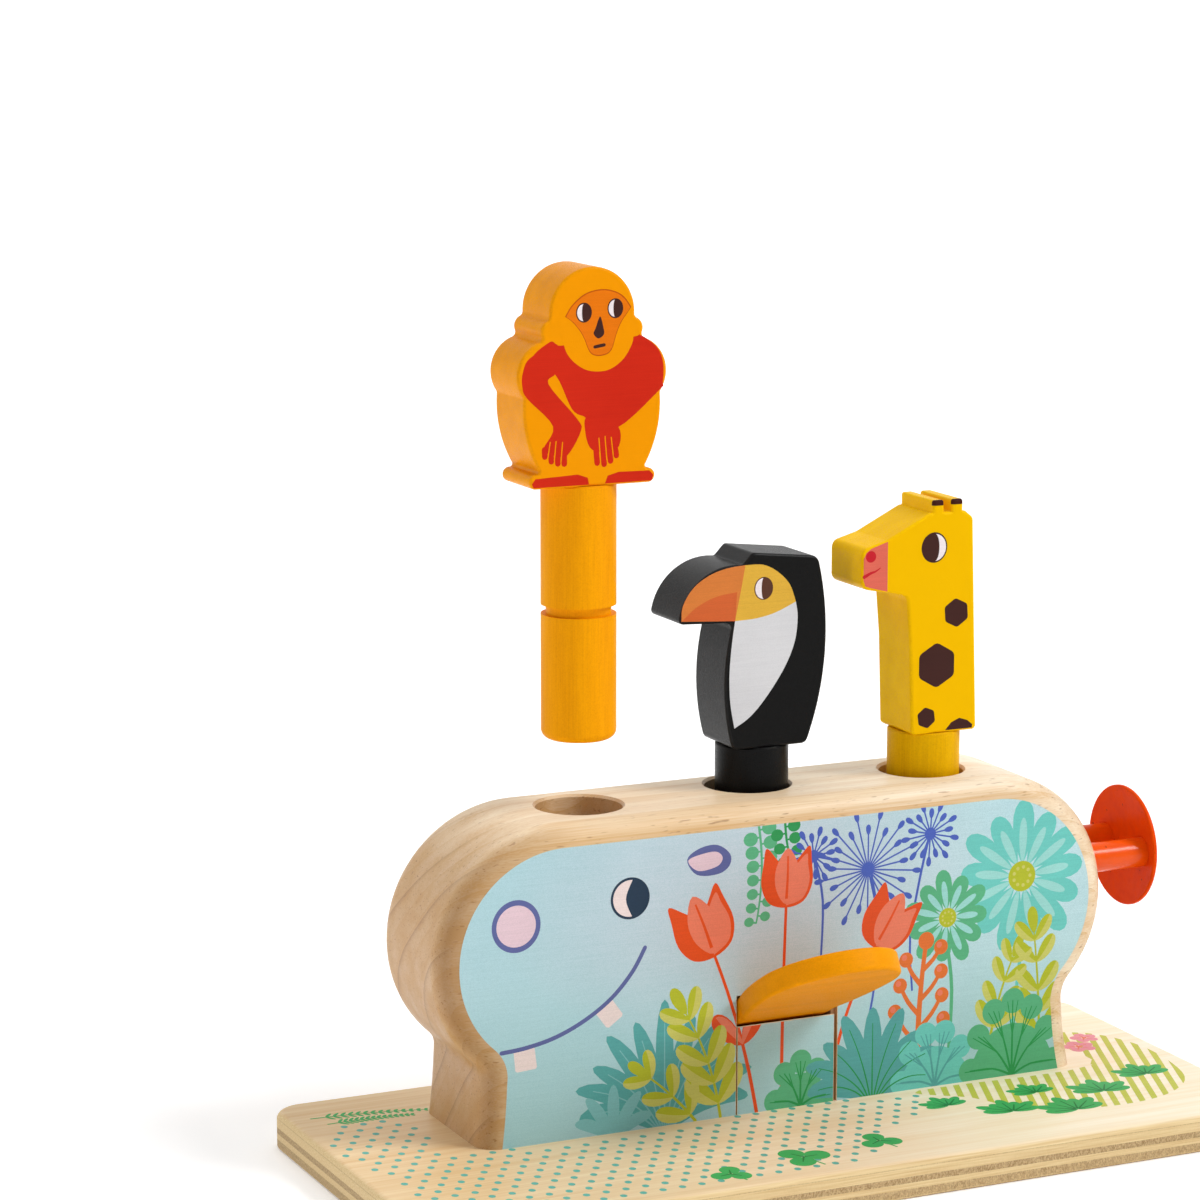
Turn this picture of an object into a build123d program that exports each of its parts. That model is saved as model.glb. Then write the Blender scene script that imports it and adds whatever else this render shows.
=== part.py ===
from build123d import *
from math import cos, radians, sin, tan
import os

# Pop-up animal toy: a hippo-shaped wooden block on a plywood board, with three animals on pegs
# that stand in bores of the block. The first is pressed down on a spring, the second is lifted
# by a tongue-shaped lever, the third is held down by a latch that a push knob lets go.
# Millimetres, +Z up. The origin is the centre of the board's underside, +X runs along the block
# from the hippo's nose to its rump, and the hippo's printed side faces -Y.

os.makedirs("parts", exist_ok=True)

# ---------------------------------------------------------------- driving dimensions

# base board
base_length = 300.0
base_depth = 137.0
base_thickness = 12.0
base_corner_r = 10.0
base_top_round = 2.5
base_under_round = 1.0

# hippo block
block_thickness = 49.0
block_height = 102.0
block_back_margin = 23.5  # from the block's back to the board's back edge
end_r = 42.8
nose_centre_x = -76.8
rump_centre_x = 79.2
front_leg_x = -103.5
front_foot_x = -105.4
rear_leg_x = 108.0
rear_foot_x = 111.4
leg_height = 30.0
front_knee_round = 6.0
rear_knee_round = 10.0
block_edge_round = 7.0

# pegs and their bores
peg_d = 24.0
peg_length = 82.0
peg_end_round = 3.0
peg_top_ease = 0.5
groove_width = 3.0
groove_depth = 1.6
latched_press = 8.2  # how far the giraffe is pressed down when the latch finds its groove
tenon_d = 12.0
tenon_length = 16.0
tenon_well = 0.5  # glue space over the tenon
bore_play = 2.0
bore_rim_ease = 0.8
monkey_x = -60.8
toucan_x = 1.6
giraffe_x = 64.0
toucan_set_back = 4.5  # how far its bore lies behind the line of the other two
toucan_side_play = 0.8  # share of the play by which the peg stands to one side of its bore
giraffe_side_play = 0.4

# how far the animals stand up
popped_gap = 14.0  # from the block's top to an animal's underside
jump_height = 90.0  # the monkey is shown in the air, this far above its seat

# pushers under the pegs
seat_gap = 0.2
pusher_play = 0.5
pusher_lip = 1.5  # how far a pusher is wider than the bore above it, on each side
pusher_thickness = 6.0
shoulder_gap = 0.3
spring_boss_d = 18.0
spring_boss_height = 4.0
pusher_edge_ease = 0.8

# springs
press_wire_d = 1.8
press_wire_sides = 12
press_spring_mean_d = 22.6
press_spring_turns = 5.0
return_wire_d = 1.0
return_wire_sides = 8
return_spring_mean_d = 8.0
return_spring_turns = 5.0
return_spring_closed = 6.5

# tongue lever
lever_x = 1.2
lever_thickness = 7.4
lever_rise = 29.0
lever_press = 18.0
pivot_inset = 4.0  # from the block's printed side to the pivot
pivot_drop = 1.2  # from the pegs' lower ends down to the pivot
tongue_root_width = 34.0
tongue_width = 45.0
tongue_widest_at = 38.4  # along the board, from the pivot
tongue_reach = 61.4
tongue_shoulder = 6.2  # where the root starts to widen
tongue_shoulder_round = 8.0
tongue_edge_round = 1.2
hinge_back = 3.2
arm_width = 12.0
arm_reach = 31.0
lever_pin_d = 3.0
pin_fit = 0.05
pin_seat = 4.0

# lifter under the toucan's peg
lifter_thickness = 4.0
lifter_dome_r = 3.1
lifter_notch_play = 0.75
lifter_head_room = 0.9  # over the lifter when the tongue is pressed down
lift_gap = 0.3

# slot for the lever, and the cover that closes it below
slot_left_gap = 0.6
slot_right_gap = 2.1
slot_depth = 16.0
slot_top_gap = 0.5
cover_left_gap = 0.4
cover_right_gap = 1.1
cover_depth = 11.6
cover_top_gap = 0.3
key_play = 0.15  # round the cover's keys in the grooves for the pin
back_slope_drop = 5.6  # how much lower the cover's top is at its back

# push knob, rods and latch
plunger_height = 79.5
plunger_travel = 12.0
knob_d = 41.2
knob_face_x = 144.4
knob_rim = 1.4
knob_crown = 3.0
knob_dish = 1.4
knob_rim_round = 0.5
knob_socket = 1.1
rod_d = 10.0
rod_spacing = 23.0
rod_play = 0.3
rod_end_ease = 0.6
bridge_thickness = 7.0
bridge_width = 34.6
bridge_height = 19.0
bridge_drop = 3.0  # how far the bridge's middle lies below the rods
rod_socket = 4.0
kerf_depth = 2.5
latch_thickness = 2.4
latch_width = 31.0
latch_frame = 6.0
latch_gap = 0.3
latch_hole_play = 0.5
latch_corner_r = 4.0
slit_play = 0.3
pocket_wall = 3.0
pocket_play = 0.5
return_spring_drop = 7.5

# screws from below
screw_d = 4.0
screw_head_d = 8.0
screw_length = 26.0
screw_tip = 3.0
screw_fit = 0.05
screw_hole_play = 0.25
pilot_space = 0.5  # past the screws' tips
screw_sink = 0.5
cross_width = 1.0
cross_length = 4.4
cross_depth = 1.6
screw_side = 13.0
front_screw_x = -91.0
rear_screw_x = 94.0

# animals: heights are from the underside, reaches from the peg's axis
figure_thickness = 22.0
figure_ease = 1.0

monkey_height = 68.3
monkey_foot_reach = 21.5
monkey_foot_thickness = 4.6
monkey_ankle_reach = 17.5
monkey_ankle_round = 0.9
monkey_knee_reach = 22.2
monkey_knee_height = 15.5
monkey_elbow_reach = 23.3
monkey_elbow_height = 28.5
monkey_shoulder_reach = 25.1
monkey_shoulder_height = 37.9
monkey_neck_reach = 16.0
monkey_neck_drop = 22.3  # below the crown
monkey_ear_reach = 17.3
monkey_ear_drop = 18.9
monkey_temple_reach = 14.4
monkey_temple_drop = 16.1
monkey_crease_round = 1.5

toucan_height = 64.1
toucan_front_reach = 12.2
toucan_back_reach = 14.4
toucan_foot_round = 2.5
toucan_belly_reach = 15.2
toucan_belly_height = 19.0
toucan_wing_reach = 21.2
toucan_wing_height = 29.5
toucan_nape_reach = 18.2
toucan_nape_drop = 2.6  # below the crown
toucan_nape_round = 3.5
toucan_brow_reach = 5.4
toucan_brow_round = 1.5
toucan_throat_reach = 12.3
toucan_throat_drop = 22.4
toucan_throat_round = 2.0
beak_root_reach = 9.0
beak_root_drop = 3.8
beak_bend_reach = 24.8
beak_bend_drop = 8.3
beak_reach = 31.8
beak_tip_drop = 21.5
beak_tip_round = 1.6

giraffe_crown_height = 73.3
giraffe_front_reach = 10.6
giraffe_back_reach = 13.8
giraffe_foot_round = 1.5
giraffe_nape_reach = 11.4
giraffe_nape_drop = 2.3  # below the crown
giraffe_nape_round = 2.0
giraffe_crown_reach = 8.5
giraffe_brow_reach = 4.7
giraffe_brow_round = 0.8
giraffe_bridge_reach = 20.6
giraffe_bridge_drop = 7.8
muzzle_reach = 29.7
muzzle_top_drop = 10.3
muzzle_depth = 13.0
muzzle_round = 3.0
giraffe_throat_reach = 13.0
giraffe_throat_drop = 26.5
giraffe_throat_round = 3.0
giraffe_breast_reach = 11.6
giraffe_breast_height = 30.0
horn_width = 4.0
horn_height = 4.1
horn_spacing = 7.1
horn_middle_reach = 1.9
horn_round = 0.8
horn_root_round = 0.4

# how far a cutting shape runs past the face it opens, and a margin to pick edges by their place
cut_past = 1.0
near = 0.1

# ---------------------------------------------------------------- places worked out from them

block_y = base_depth / 2 - block_back_margin - block_thickness / 2
block_front_y = block_y - block_thickness / 2
deck_z = base_thickness + block_height
end_centre_z = deck_z - end_r
head_z = deck_z + popped_gap
peg_end_z = head_z - peg_length
groove_height = plunger_height + latched_press - peg_end_z  # above the peg's lower end
pusher_top_z = peg_end_z - seat_gap
shoulder_z = pusher_top_z + shoulder_gap
peg_r = peg_d / 2
bore_r = peg_r + bore_play
pusher_r = bore_r + pusher_lip
well_r = pusher_r + pusher_play
toucan_y = block_y + toucan_set_back
toucan_peg_x = toucan_x + toucan_side_play * bore_play
giraffe_peg_x = giraffe_x + giraffe_side_play * bore_play

# lever: where its board passes the printed side at rest and pressed
pivot_height = peg_end_z - pivot_drop
pivot_y = block_front_y + pivot_inset
rest_rise = radians(lever_rise)
pressed_rise = radians(lever_rise - lever_press)
half_board = lever_thickness / 2
pivot_back = toucan_y - pivot_y
slot_top_z = pivot_height + pivot_inset * tan(rest_rise) + half_board / cos(rest_rise) + slot_top_gap
pressed_under_z = pivot_height + pivot_inset * tan(pressed_rise) - half_board / cos(pressed_rise)
slot_left_x = lever_x - tongue_root_width / 2 - slot_left_gap
slot_right_x = lever_x + tongue_root_width / 2 + slot_right_gap


def dome_height(rise):
    """Height of the lifter's dome centre over a board that rises at this angle."""
    clear = half_board + lifter_dome_r + lift_gap
    return pivot_height + (clear - pivot_back * sin(rise)) / cos(rise)


dome_z = dome_height(rest_rise)
lifter_rise = dome_height(pressed_rise) - dome_z
lifter_well_top = pusher_top_z + lifter_rise + lifter_head_room
lifter_under_z = pusher_top_z - lifter_thickness

# latch pocket
pocket_x0 = giraffe_x + bore_r + pocket_wall
bridge_x0 = pocket_x0 + return_spring_closed + plunger_travel
bridge_x1 = bridge_x0 + bridge_thickness
pocket_x1 = bridge_x1 + shoulder_gap
bridge_z = plunger_height - bridge_drop
rod_r = rod_d / 2
rod_hole_r = rod_r + rod_play
latch_hole_r = peg_r + latch_hole_play
latch_hole_x0 = giraffe_peg_x - peg_r - latch_gap
latch_x0 = latch_hole_x0 - latch_frame
latch_x1 = bridge_x0 + kerf_depth


def front_plane(x, z, y=block_y):
    """A plane that looks at the printed side, through the block's middle or at y: x right, y up."""
    return Plane(origin=(x, y, z), x_dir=(1, 0, 0), z_dir=(0, -1, 0))


def upright_axis(x, y=block_y):
    return Axis((x, y, 0), (0, 0, 1))


# ---------------------------------------------------------------- base board

screw_spots = [
    (front_screw_x, block_y),
    (rear_screw_x, block_y),
    (lever_x, pivot_y),
]
for middle_x in ((monkey_x + toucan_x) / 2, (toucan_x + giraffe_x) / 2):
    screw_spots.append((middle_x, block_y - screw_side))
    screw_spots.append((middle_x, block_y + screw_side))
pilot_depth = screw_sink + screw_length + pilot_space - base_thickness

with BuildPart() as base_board:
    with BuildSketch():
        RectangleRounded(base_length, base_depth, base_corner_r)
    extrude(amount=base_thickness)
    fillet(base_board.faces().sort_by(Axis.Z)[-1].edges(), base_top_round)
    fillet(base_board.faces().sort_by(Axis.Z)[0].edges(), base_under_round)
    with Locations(Plane.XY.rotated((180, 0, 0))):
        with Locations([(x, -y, 0) for x, y in screw_spots]):
            CounterSinkHole(screw_d / 2 + screw_hole_play, screw_head_d / 2 + screw_sink)
base_board.part.label = "base_board"
export_step(base_board.part, "parts/base_board.step")

# ---------------------------------------------------------------- hippo block

with BuildPart() as hippo_body:
    # side view: two round ends, the body between them, and legs that flare to their feet
    with BuildSketch(front_plane(0, 0)) as side_view:
        leg_top = base_thickness + leg_height
        with BuildLine():
            Line((front_foot_x, base_thickness), (rear_foot_x, base_thickness))
            TangentArc((front_leg_x, leg_top), (front_foot_x, base_thickness), tangent=(0, -1))
            Line((front_leg_x, leg_top), (rear_leg_x, leg_top))
            TangentArc((rear_leg_x, leg_top), (rear_foot_x, base_thickness), tangent=(0, -1))
        make_face()
        with Locations((nose_centre_x, end_centre_z), (rump_centre_x, end_centre_z)):
            Circle(end_r)
        with Locations(((nose_centre_x + rump_centre_x) / 2, end_centre_z)):
            Rectangle(rump_centre_x - nose_centre_x, 2 * end_r)
        for knee_side, knee_round in ((0, front_knee_round), (-1, rear_knee_round)):
            corners = side_view.vertices().filter_by(lambda v: base_thickness + near < v.Y < leg_top)
            fillet(corners.sort_by(Axis.X)[knee_side], knee_round)
    extrude(amount=block_thickness / 2, both=True)

    # rounded along both faces, but sharp where it stands on the board
    sides = hippo_body.faces().filter_by(Axis.Y).edges()
    rounded = sides.filter_by(lambda e: e.center().Z > base_thickness + near)
    fillet(rounded, block_edge_round)

    # bores for the pegs, and wider wells for the pushers below them
    with BuildSketch(Plane.XY.offset(deck_z)):
        with Locations((monkey_x, block_y), (toucan_x, toucan_y), (giraffe_x, block_y)):
            Circle(bore_r)
    extrude(amount=-block_height, mode=Mode.SUBTRACT)
    round_edges = hippo_body.edges().filter_by(GeomType.CIRCLE)
    chamfer(round_edges.filter_by_position(Axis.Z, deck_z - near, deck_z + near), bore_rim_ease)
    with BuildSketch(Plane.XY.offset(base_thickness)):
        with Locations((monkey_x, block_y), (giraffe_x, block_y)):
            Circle(well_r)
    extrude(amount=shoulder_z - base_thickness, mode=Mode.SUBTRACT)
    with BuildSketch(Plane.XY.offset(base_thickness)):
        with Locations((toucan_x, toucan_y)):
            Circle(well_r)
    extrude(amount=lifter_well_top - base_thickness, mode=Mode.SUBTRACT)

    # slot for the lever, open at the front and below
    with BuildSketch(Plane.XY.offset(base_thickness)):
        with Locations(((slot_left_x + slot_right_x) / 2, block_front_y + slot_depth / 2)):
            Rectangle(slot_right_x - slot_left_x, slot_depth)
    extrude(amount=slot_top_z - base_thickness, mode=Mode.SUBTRACT)

    # grooves in the slot's walls that take the ends of the lever's pin from below
    pin_seat_r = lever_pin_d / 2 + pin_fit
    pin_span = slot_right_x - slot_left_x + 2 * pin_seat
    pin_middle_x = (slot_left_x + slot_right_x) / 2
    with BuildSketch(Plane.YZ.offset(pin_middle_x)):
        with Locations((pivot_y, pivot_height)):
            Circle(pin_seat_r)
        with Locations((pivot_y, (base_thickness + pivot_height) / 2)):
            Rectangle(2 * pin_seat_r, pivot_height - base_thickness)
    extrude(amount=pin_span / 2 + pin_fit, both=True, mode=Mode.SUBTRACT)

    # closed pocket for the bridge and its return spring, and the slit for the latch plate
    pocket_width = bridge_width + 2 * pocket_play
    with BuildSketch(Plane.XY.offset(bridge_z)):
        with Locations(((pocket_x0 + pocket_x1) / 2, block_y)):
            Rectangle(pocket_x1 - pocket_x0, pocket_width)
    extrude(amount=bridge_height / 2 + pocket_play, both=True, mode=Mode.SUBTRACT)
    slit_x0 = latch_x0 - plunger_travel - pocket_play
    with BuildSketch(Plane.XY.offset(plunger_height)):
        with Locations(((slit_x0 + pocket_x1) / 2, block_y)):
            Rectangle(pocket_x1 - slit_x0, latch_width + 2 * pocket_play)
    extrude(amount=latch_thickness / 2 + slit_play, both=True, mode=Mode.SUBTRACT)

    # holes for the two rods, out through the rump
    with BuildSketch(Plane.YZ.offset(pocket_x1 - cut_past)):
        with Locations((block_y, plunger_height)):
            with GridLocations(rod_spacing, 0, 2, 1):
                Circle(rod_hole_r)
    extrude(amount=rump_centre_x + end_r - pocket_x1 + 2 * cut_past, mode=Mode.SUBTRACT)

    # pilot holes for the screws from the board
    with BuildSketch(Plane.XY.offset(base_thickness)):
        with Locations(*[spot for spot in screw_spots if spot != (lever_x, pivot_y)]):
            Circle(screw_d / 2 + screw_fit)
    extrude(amount=pilot_depth, mode=Mode.SUBTRACT)
hippo_body.part.label = "hippo_body"
export_step(hippo_body.part, "parts/hippo_body.step")

# ---------------------------------------------------------------- cover below the lever

with BuildPart() as slot_cover:
    cover_x0 = slot_left_x + cover_left_gap
    cover_x1 = slot_right_x - cover_right_gap
    cover_back_y = block_front_y + cover_depth
    cover_front_z = pressed_under_z - cover_top_gap
    with BuildSketch(Plane.YZ.offset(cover_x0)):
        with BuildLine():
            Polyline(
                (block_front_y, base_thickness),
                (cover_back_y, base_thickness),
                (cover_back_y, cover_front_z - back_slope_drop),
                (block_front_y, cover_front_z),
                close=True,
            )
        make_face()
    extrude(amount=cover_x1 - cover_x0)
    # keys at both sides that fill the grooves in the block and hold the pin up in them
    key_x0 = slot_left_x - pin_seat + key_play
    key_x1 = slot_right_x + pin_seat - key_play
    for inner_x, outer_x in ((cover_x0, key_x0), (cover_x1, key_x1)):
        with BuildSketch(Plane.XY.offset(base_thickness)):
            with Locations(((inner_x + outer_x) / 2, pivot_y)):
                Rectangle(abs(outer_x - inner_x), 2 * (pin_seat_r - key_play))
        extrude(amount=pivot_height - base_thickness)
    with BuildSketch(Plane.YZ.offset(key_x0 - cut_past)):
        with Locations((pivot_y, pivot_height)):
            Circle(pin_seat_r)
    extrude(amount=key_x1 - key_x0 + 2 * cut_past, mode=Mode.SUBTRACT)
    with BuildSketch(Plane.XY.offset(base_thickness)):
        with Locations((lever_x, pivot_y)):
            Circle(screw_d / 2 + screw_fit)
    extrude(amount=pilot_depth, mode=Mode.SUBTRACT)
slot_cover.part.label = "slot_cover"
export_step(slot_cover.part, "parts/slot_cover.step")

# ---------------------------------------------------------------- tongue lever and its pin

lever_plane = Plane(
    origin=(lever_x, pivot_y, pivot_height),
    x_dir=(1, 0, 0),
    z_dir=(0, -sin(rest_rise), -cos(rest_rise)),
)

with BuildPart() as lever_board:
    with BuildSketch(lever_plane) as lever_view:
        half_root = tongue_root_width / 2
        half_tongue = tongue_width / 2
        with BuildLine():
            Polyline(
                (-half_root, tongue_shoulder),
                (-half_root, -hinge_back),
                (half_root, -hinge_back),
                (half_root, tongue_shoulder),
            )
            TangentArc((half_tongue, tongue_widest_at), (half_root, tongue_shoulder), tangent=(0, -1))
            EllipticalCenterArc(
                (0, tongue_widest_at),
                half_tongue,
                tongue_reach - tongue_widest_at,
                start_angle=0,
                arc_size=180,
            )
            TangentArc((-half_tongue, tongue_widest_at), (-half_root, tongue_shoulder), tangent=(0, -1))
        make_face()
        shoulders = lever_view.vertices().filter_by_position(
            Axis.Y, tongue_shoulder - near, tongue_shoulder + near
        )
        fillet(shoulders, tongue_shoulder_round)
        arm_middle = arm_reach / 2 - arm_width / 4
        with Locations((toucan_x - lever_x, -arm_middle)):
            Rectangle(arm_width, 2 * arm_middle)
        with Locations((toucan_x - lever_x, -(arm_reach - arm_width / 2))):
            Circle(arm_width / 2)
    extrude(amount=half_board, both=True)
    board_faces = lever_board.faces().filter_by(Axis(lever_plane.origin, lever_plane.z_dir))
    fillet(board_faces.edges(), tongue_edge_round)
    with BuildSketch(Plane.YZ.offset(lever_x)):
        with Locations((pivot_y, pivot_height)):
            Circle(pin_seat_r)
    extrude(amount=tongue_root_width / 2 + cut_past, both=True, mode=Mode.SUBTRACT)
lever_board.part.label = "lever_board"
export_step(lever_board.part, "parts/lever_board.step")

with BuildPart() as lever_pin:
    with BuildSketch(Plane.YZ.offset(pin_middle_x)):
        with Locations((pivot_y, pivot_height)):
            Circle(lever_pin_d / 2)
    extrude(amount=pin_span / 2, both=True)
    chamfer(lever_pin.faces().filter_by(Axis.X).edges(), rod_end_ease)
lever_pin.part.label = "lever_pin"
export_step(lever_pin.part, "parts/lever_pin.step")

# ---------------------------------------------------------------- pushers and their springs


def make_pusher(x):
    """A disc that carries a peg, trapped under its bore's shoulder, with a boss for its spring."""
    under_z = pusher_top_z - pusher_thickness
    with BuildPart() as pusher:
        with BuildSketch(front_plane(x, 0)) as half:
            with BuildLine():
                Polyline(
                    (0, under_z - spring_boss_height),
                    (spring_boss_d / 2, under_z - spring_boss_height),
                    (spring_boss_d / 2, under_z),
                    (pusher_r, under_z),
                    (pusher_r, pusher_top_z),
                    (0, pusher_top_z),
                    close=True,
                )
            make_face()
            fillet(half.vertices().filter_by(lambda v: v.X > pusher_r - near), pusher_edge_ease)
        revolve(axis=upright_axis(x))
    return pusher


def make_press_spring(x):
    """A coil between the board and the underside of a pusher."""
    wire_r = press_wire_d / 2
    height = pusher_top_z - pusher_thickness - base_thickness - press_wire_d
    with BuildPart() as spring:
        with BuildLine() as coil:
            Helix(
                pitch=height / press_spring_turns,
                height=height,
                radius=press_spring_mean_d / 2,
                center=(x, block_y, base_thickness + wire_r),
            )
        with BuildSketch(Plane(origin=coil.line @ 0, z_dir=coil.line % 0)):
            RegularPolygon(wire_r, press_wire_sides)
        sweep(path=coil.line, is_frenet=True)
    return spring


for name, bore_x in (("monkey", monkey_x), ("giraffe", giraffe_x)):
    pusher = make_pusher(bore_x)
    pusher.part.label = name + "_pusher"
    export_step(pusher.part, "parts/" + name + "_pusher.step")
    spring = make_press_spring(bore_x)
    spring.part.label = name + "_spring"
    export_step(spring.part, "parts/" + name + "_spring.step")

# the toucan's pusher is thinner, notched for the lever's arm, and rests on it with a dome
with BuildPart() as toucan_pusher:
    with BuildSketch(Plane.XY.offset(lifter_under_z)):
        with Locations((toucan_x, toucan_y)):
            Circle(pusher_r)
        board_top_over_pivot = half_board / cos(rest_rise) + lift_gap
        notch_back = pivot_back - (pivot_height + board_top_over_pivot - lifter_under_z) / tan(rest_rise)
        notch_length = pusher_r - notch_back
        with Locations((toucan_x, toucan_y - pusher_r + notch_length / 2)):
            Rectangle(arm_width + 2 * lifter_notch_play, notch_length, mode=Mode.SUBTRACT)
        # flat front, clear of the lever's hinge
        hinge_end = hinge_back * cos(rest_rise) + half_board * sin(rest_rise)
        with Locations((toucan_x, pivot_y + hinge_end + lift_gap - pusher_r)):
            Rectangle(2 * pusher_r, 2 * pusher_r, mode=Mode.SUBTRACT)
    extrude(amount=lifter_thickness)
    with BuildSketch(front_plane(toucan_x, 0, toucan_y)):
        with BuildLine():
            Line((0, lifter_under_z + 1), (lifter_dome_r, lifter_under_z + 1))
            Line((lifter_dome_r, lifter_under_z + 1), (lifter_dome_r, dome_z))
            RadiusArc((lifter_dome_r, dome_z), (0, dome_z - lifter_dome_r), lifter_dome_r)
            Line((0, dome_z - lifter_dome_r), (0, lifter_under_z + 1))
        make_face()
    revolve(axis=upright_axis(toucan_x, toucan_y))
toucan_pusher.part.label = "toucan_pusher"
export_step(toucan_pusher.part, "parts/toucan_pusher.step")

# ---------------------------------------------------------------- pegs


def make_peg(x, end_z, y=block_y):
    """A turned peg with a latch groove half way up and a tenon for the animal on top."""
    with BuildPart() as peg:
        with BuildSketch(front_plane(x, end_z, y)) as half:
            groove_low = groove_height - groove_width / 2
            groove_high = groove_height + groove_width / 2
            with BuildLine():
                Polyline(
                    (0, 0),
                    (peg_r, 0),
                    (peg_r, groove_low),
                    (peg_r - groove_depth, groove_low),
                    (peg_r - groove_depth, groove_high),
                    (peg_r, groove_high),
                    (peg_r, peg_length),
                    (tenon_d / 2, peg_length),
                    (tenon_d / 2, peg_length + tenon_length),
                    (0, peg_length + tenon_length),
                    close=True,
                )
            make_face()
            chamfer(half.vertices().filter_by(lambda v: v.X > peg_r - near).sort_by(Axis.Y)[-1], peg_top_ease)
            fillet(half.vertices().filter_by(lambda v: v.X > peg_r - near).sort_by(Axis.Y)[0], peg_end_round)
        revolve(axis=upright_axis(x, y))
    return peg


monkey_peg = make_peg(monkey_x, peg_end_z + jump_height)
toucan_peg = make_peg(toucan_peg_x, peg_end_z, toucan_y)
giraffe_peg = make_peg(giraffe_peg_x, peg_end_z)
for name, peg in (("monkey", monkey_peg), ("toucan", toucan_peg), ("giraffe", giraffe_peg)):
    peg.part.label = name + "_peg"
    export_step(peg.part, "parts/" + name + "_peg.step")

# ---------------------------------------------------------------- animals


def underside(x, z, y=block_y):
    """A plane at an animal's underside that faces down, to drill its hole for the tenon from."""
    return Plane(origin=(x, y, z), z_dir=(0, 0, -1))


def corner_at(sketch, place):
    """The corner of an outline nearest to a point, both in the sketch's own plane."""
    return sketch.vertices().sort_by_distance(place)[0]


tenon_hole = tenon_length + tenon_well

# monkey: sits on a thin ledge of feet, arms bent, round head with two ears
with BuildPart() as monkey_figure:
    monkey_z = head_z + jump_height
    with BuildSketch(front_plane(monkey_x, monkey_z)) as monkey_view:
        toe_r = monkey_foot_thickness / 2
        toe_x = monkey_foot_reach - toe_r
        foot = (monkey_ankle_reach, monkey_foot_thickness)
        elbow = (monkey_elbow_reach, monkey_elbow_height)
        neck = (monkey_neck_reach, monkey_height - monkey_neck_drop)
        temple = (monkey_temple_reach, monkey_height - monkey_temple_drop)
        with BuildLine():
            Line((0, 0), (toe_x, 0))
            ThreePointArc((toe_x, 0), (monkey_foot_reach, toe_r), (toe_x, monkey_foot_thickness))
            Line((toe_x, monkey_foot_thickness), foot)
            ThreePointArc(foot, (monkey_knee_reach, monkey_knee_height), elbow)
            ThreePointArc(elbow, (monkey_shoulder_reach, monkey_shoulder_height), neck)
            ThreePointArc(neck, (monkey_ear_reach, monkey_height - monkey_ear_drop), temple)
            TangentArc((0, monkey_height), temple, tangent=(1, 0))
            mirror(about=Plane.YZ)
        make_face()
        # soften the creases between body, elbows, neck, ears and head, and those at the ankles
        sides = monkey_view.vertices().filter_by(lambda v: near < abs(v.X))
        fillet(sides.filter_by(lambda v: v.Y > monkey_foot_thickness + near), monkey_crease_round)
        ankles = monkey_view.vertices().filter_by(lambda v: abs(abs(v.X) - monkey_ankle_reach) < near)
        fillet(ankles.filter_by(lambda v: v.Y < monkey_foot_thickness + near), monkey_ankle_round)
    extrude(amount=figure_thickness / 2, both=True)
    fillet(monkey_figure.faces().filter_by(Axis.Y).edges(), figure_ease)
    with Locations(underside(monkey_x, monkey_z)):
        Hole(tenon_d / 2, depth=tenon_hole)
monkey_figure.part.label = "monkey_figure"
export_step(monkey_figure.part, "parts/monkey_figure.step")

# toucan: upright body with a big hooked beak towards the hippo's nose
with BuildPart() as toucan_figure:
    with BuildSketch(front_plane(toucan_peg_x, head_z, toucan_y)) as toucan_view:
        nape = (toucan_nape_reach, toucan_height - toucan_nape_drop)
        brow = (-toucan_brow_reach, toucan_height)
        beak_root = (-beak_root_reach, toucan_height - beak_root_drop)
        beak_tip = (-beak_reach, toucan_height - beak_tip_drop)
        throat = (-toucan_throat_reach, toucan_height - toucan_throat_drop)
        back_foot = (toucan_back_reach, 0)
        front_foot = (-toucan_front_reach, 0)
        with BuildLine():
            Line(front_foot, back_foot)
            ThreePointArc(back_foot, (toucan_wing_reach, toucan_wing_height), nape)
            Line(nape, brow)
            Line(brow, beak_root)
            ThreePointArc(beak_root, (-beak_bend_reach, toucan_height - beak_bend_drop), beak_tip)
            Line(beak_tip, throat)
            ThreePointArc(throat, (-toucan_belly_reach, toucan_belly_height), front_foot)
        make_face()
        for corner, corner_round in (
            (back_foot, toucan_foot_round),
            (front_foot, toucan_foot_round),
            (nape, toucan_nape_round),
            (brow, toucan_brow_round),
            (beak_root, toucan_brow_round),
            (beak_tip, beak_tip_round),
            (throat, toucan_throat_round),
        ):
            fillet(corner_at(toucan_view, corner), corner_round)
    extrude(amount=figure_thickness / 2, both=True)
    fillet(toucan_figure.faces().filter_by(Axis.Y).edges(), figure_ease)
    with Locations(underside(toucan_peg_x, head_z, toucan_y)):
        Hole(tenon_d / 2, depth=tenon_hole)
toucan_figure.part.label = "toucan_figure"
export_step(toucan_figure.part, "parts/toucan_figure.step")

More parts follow.
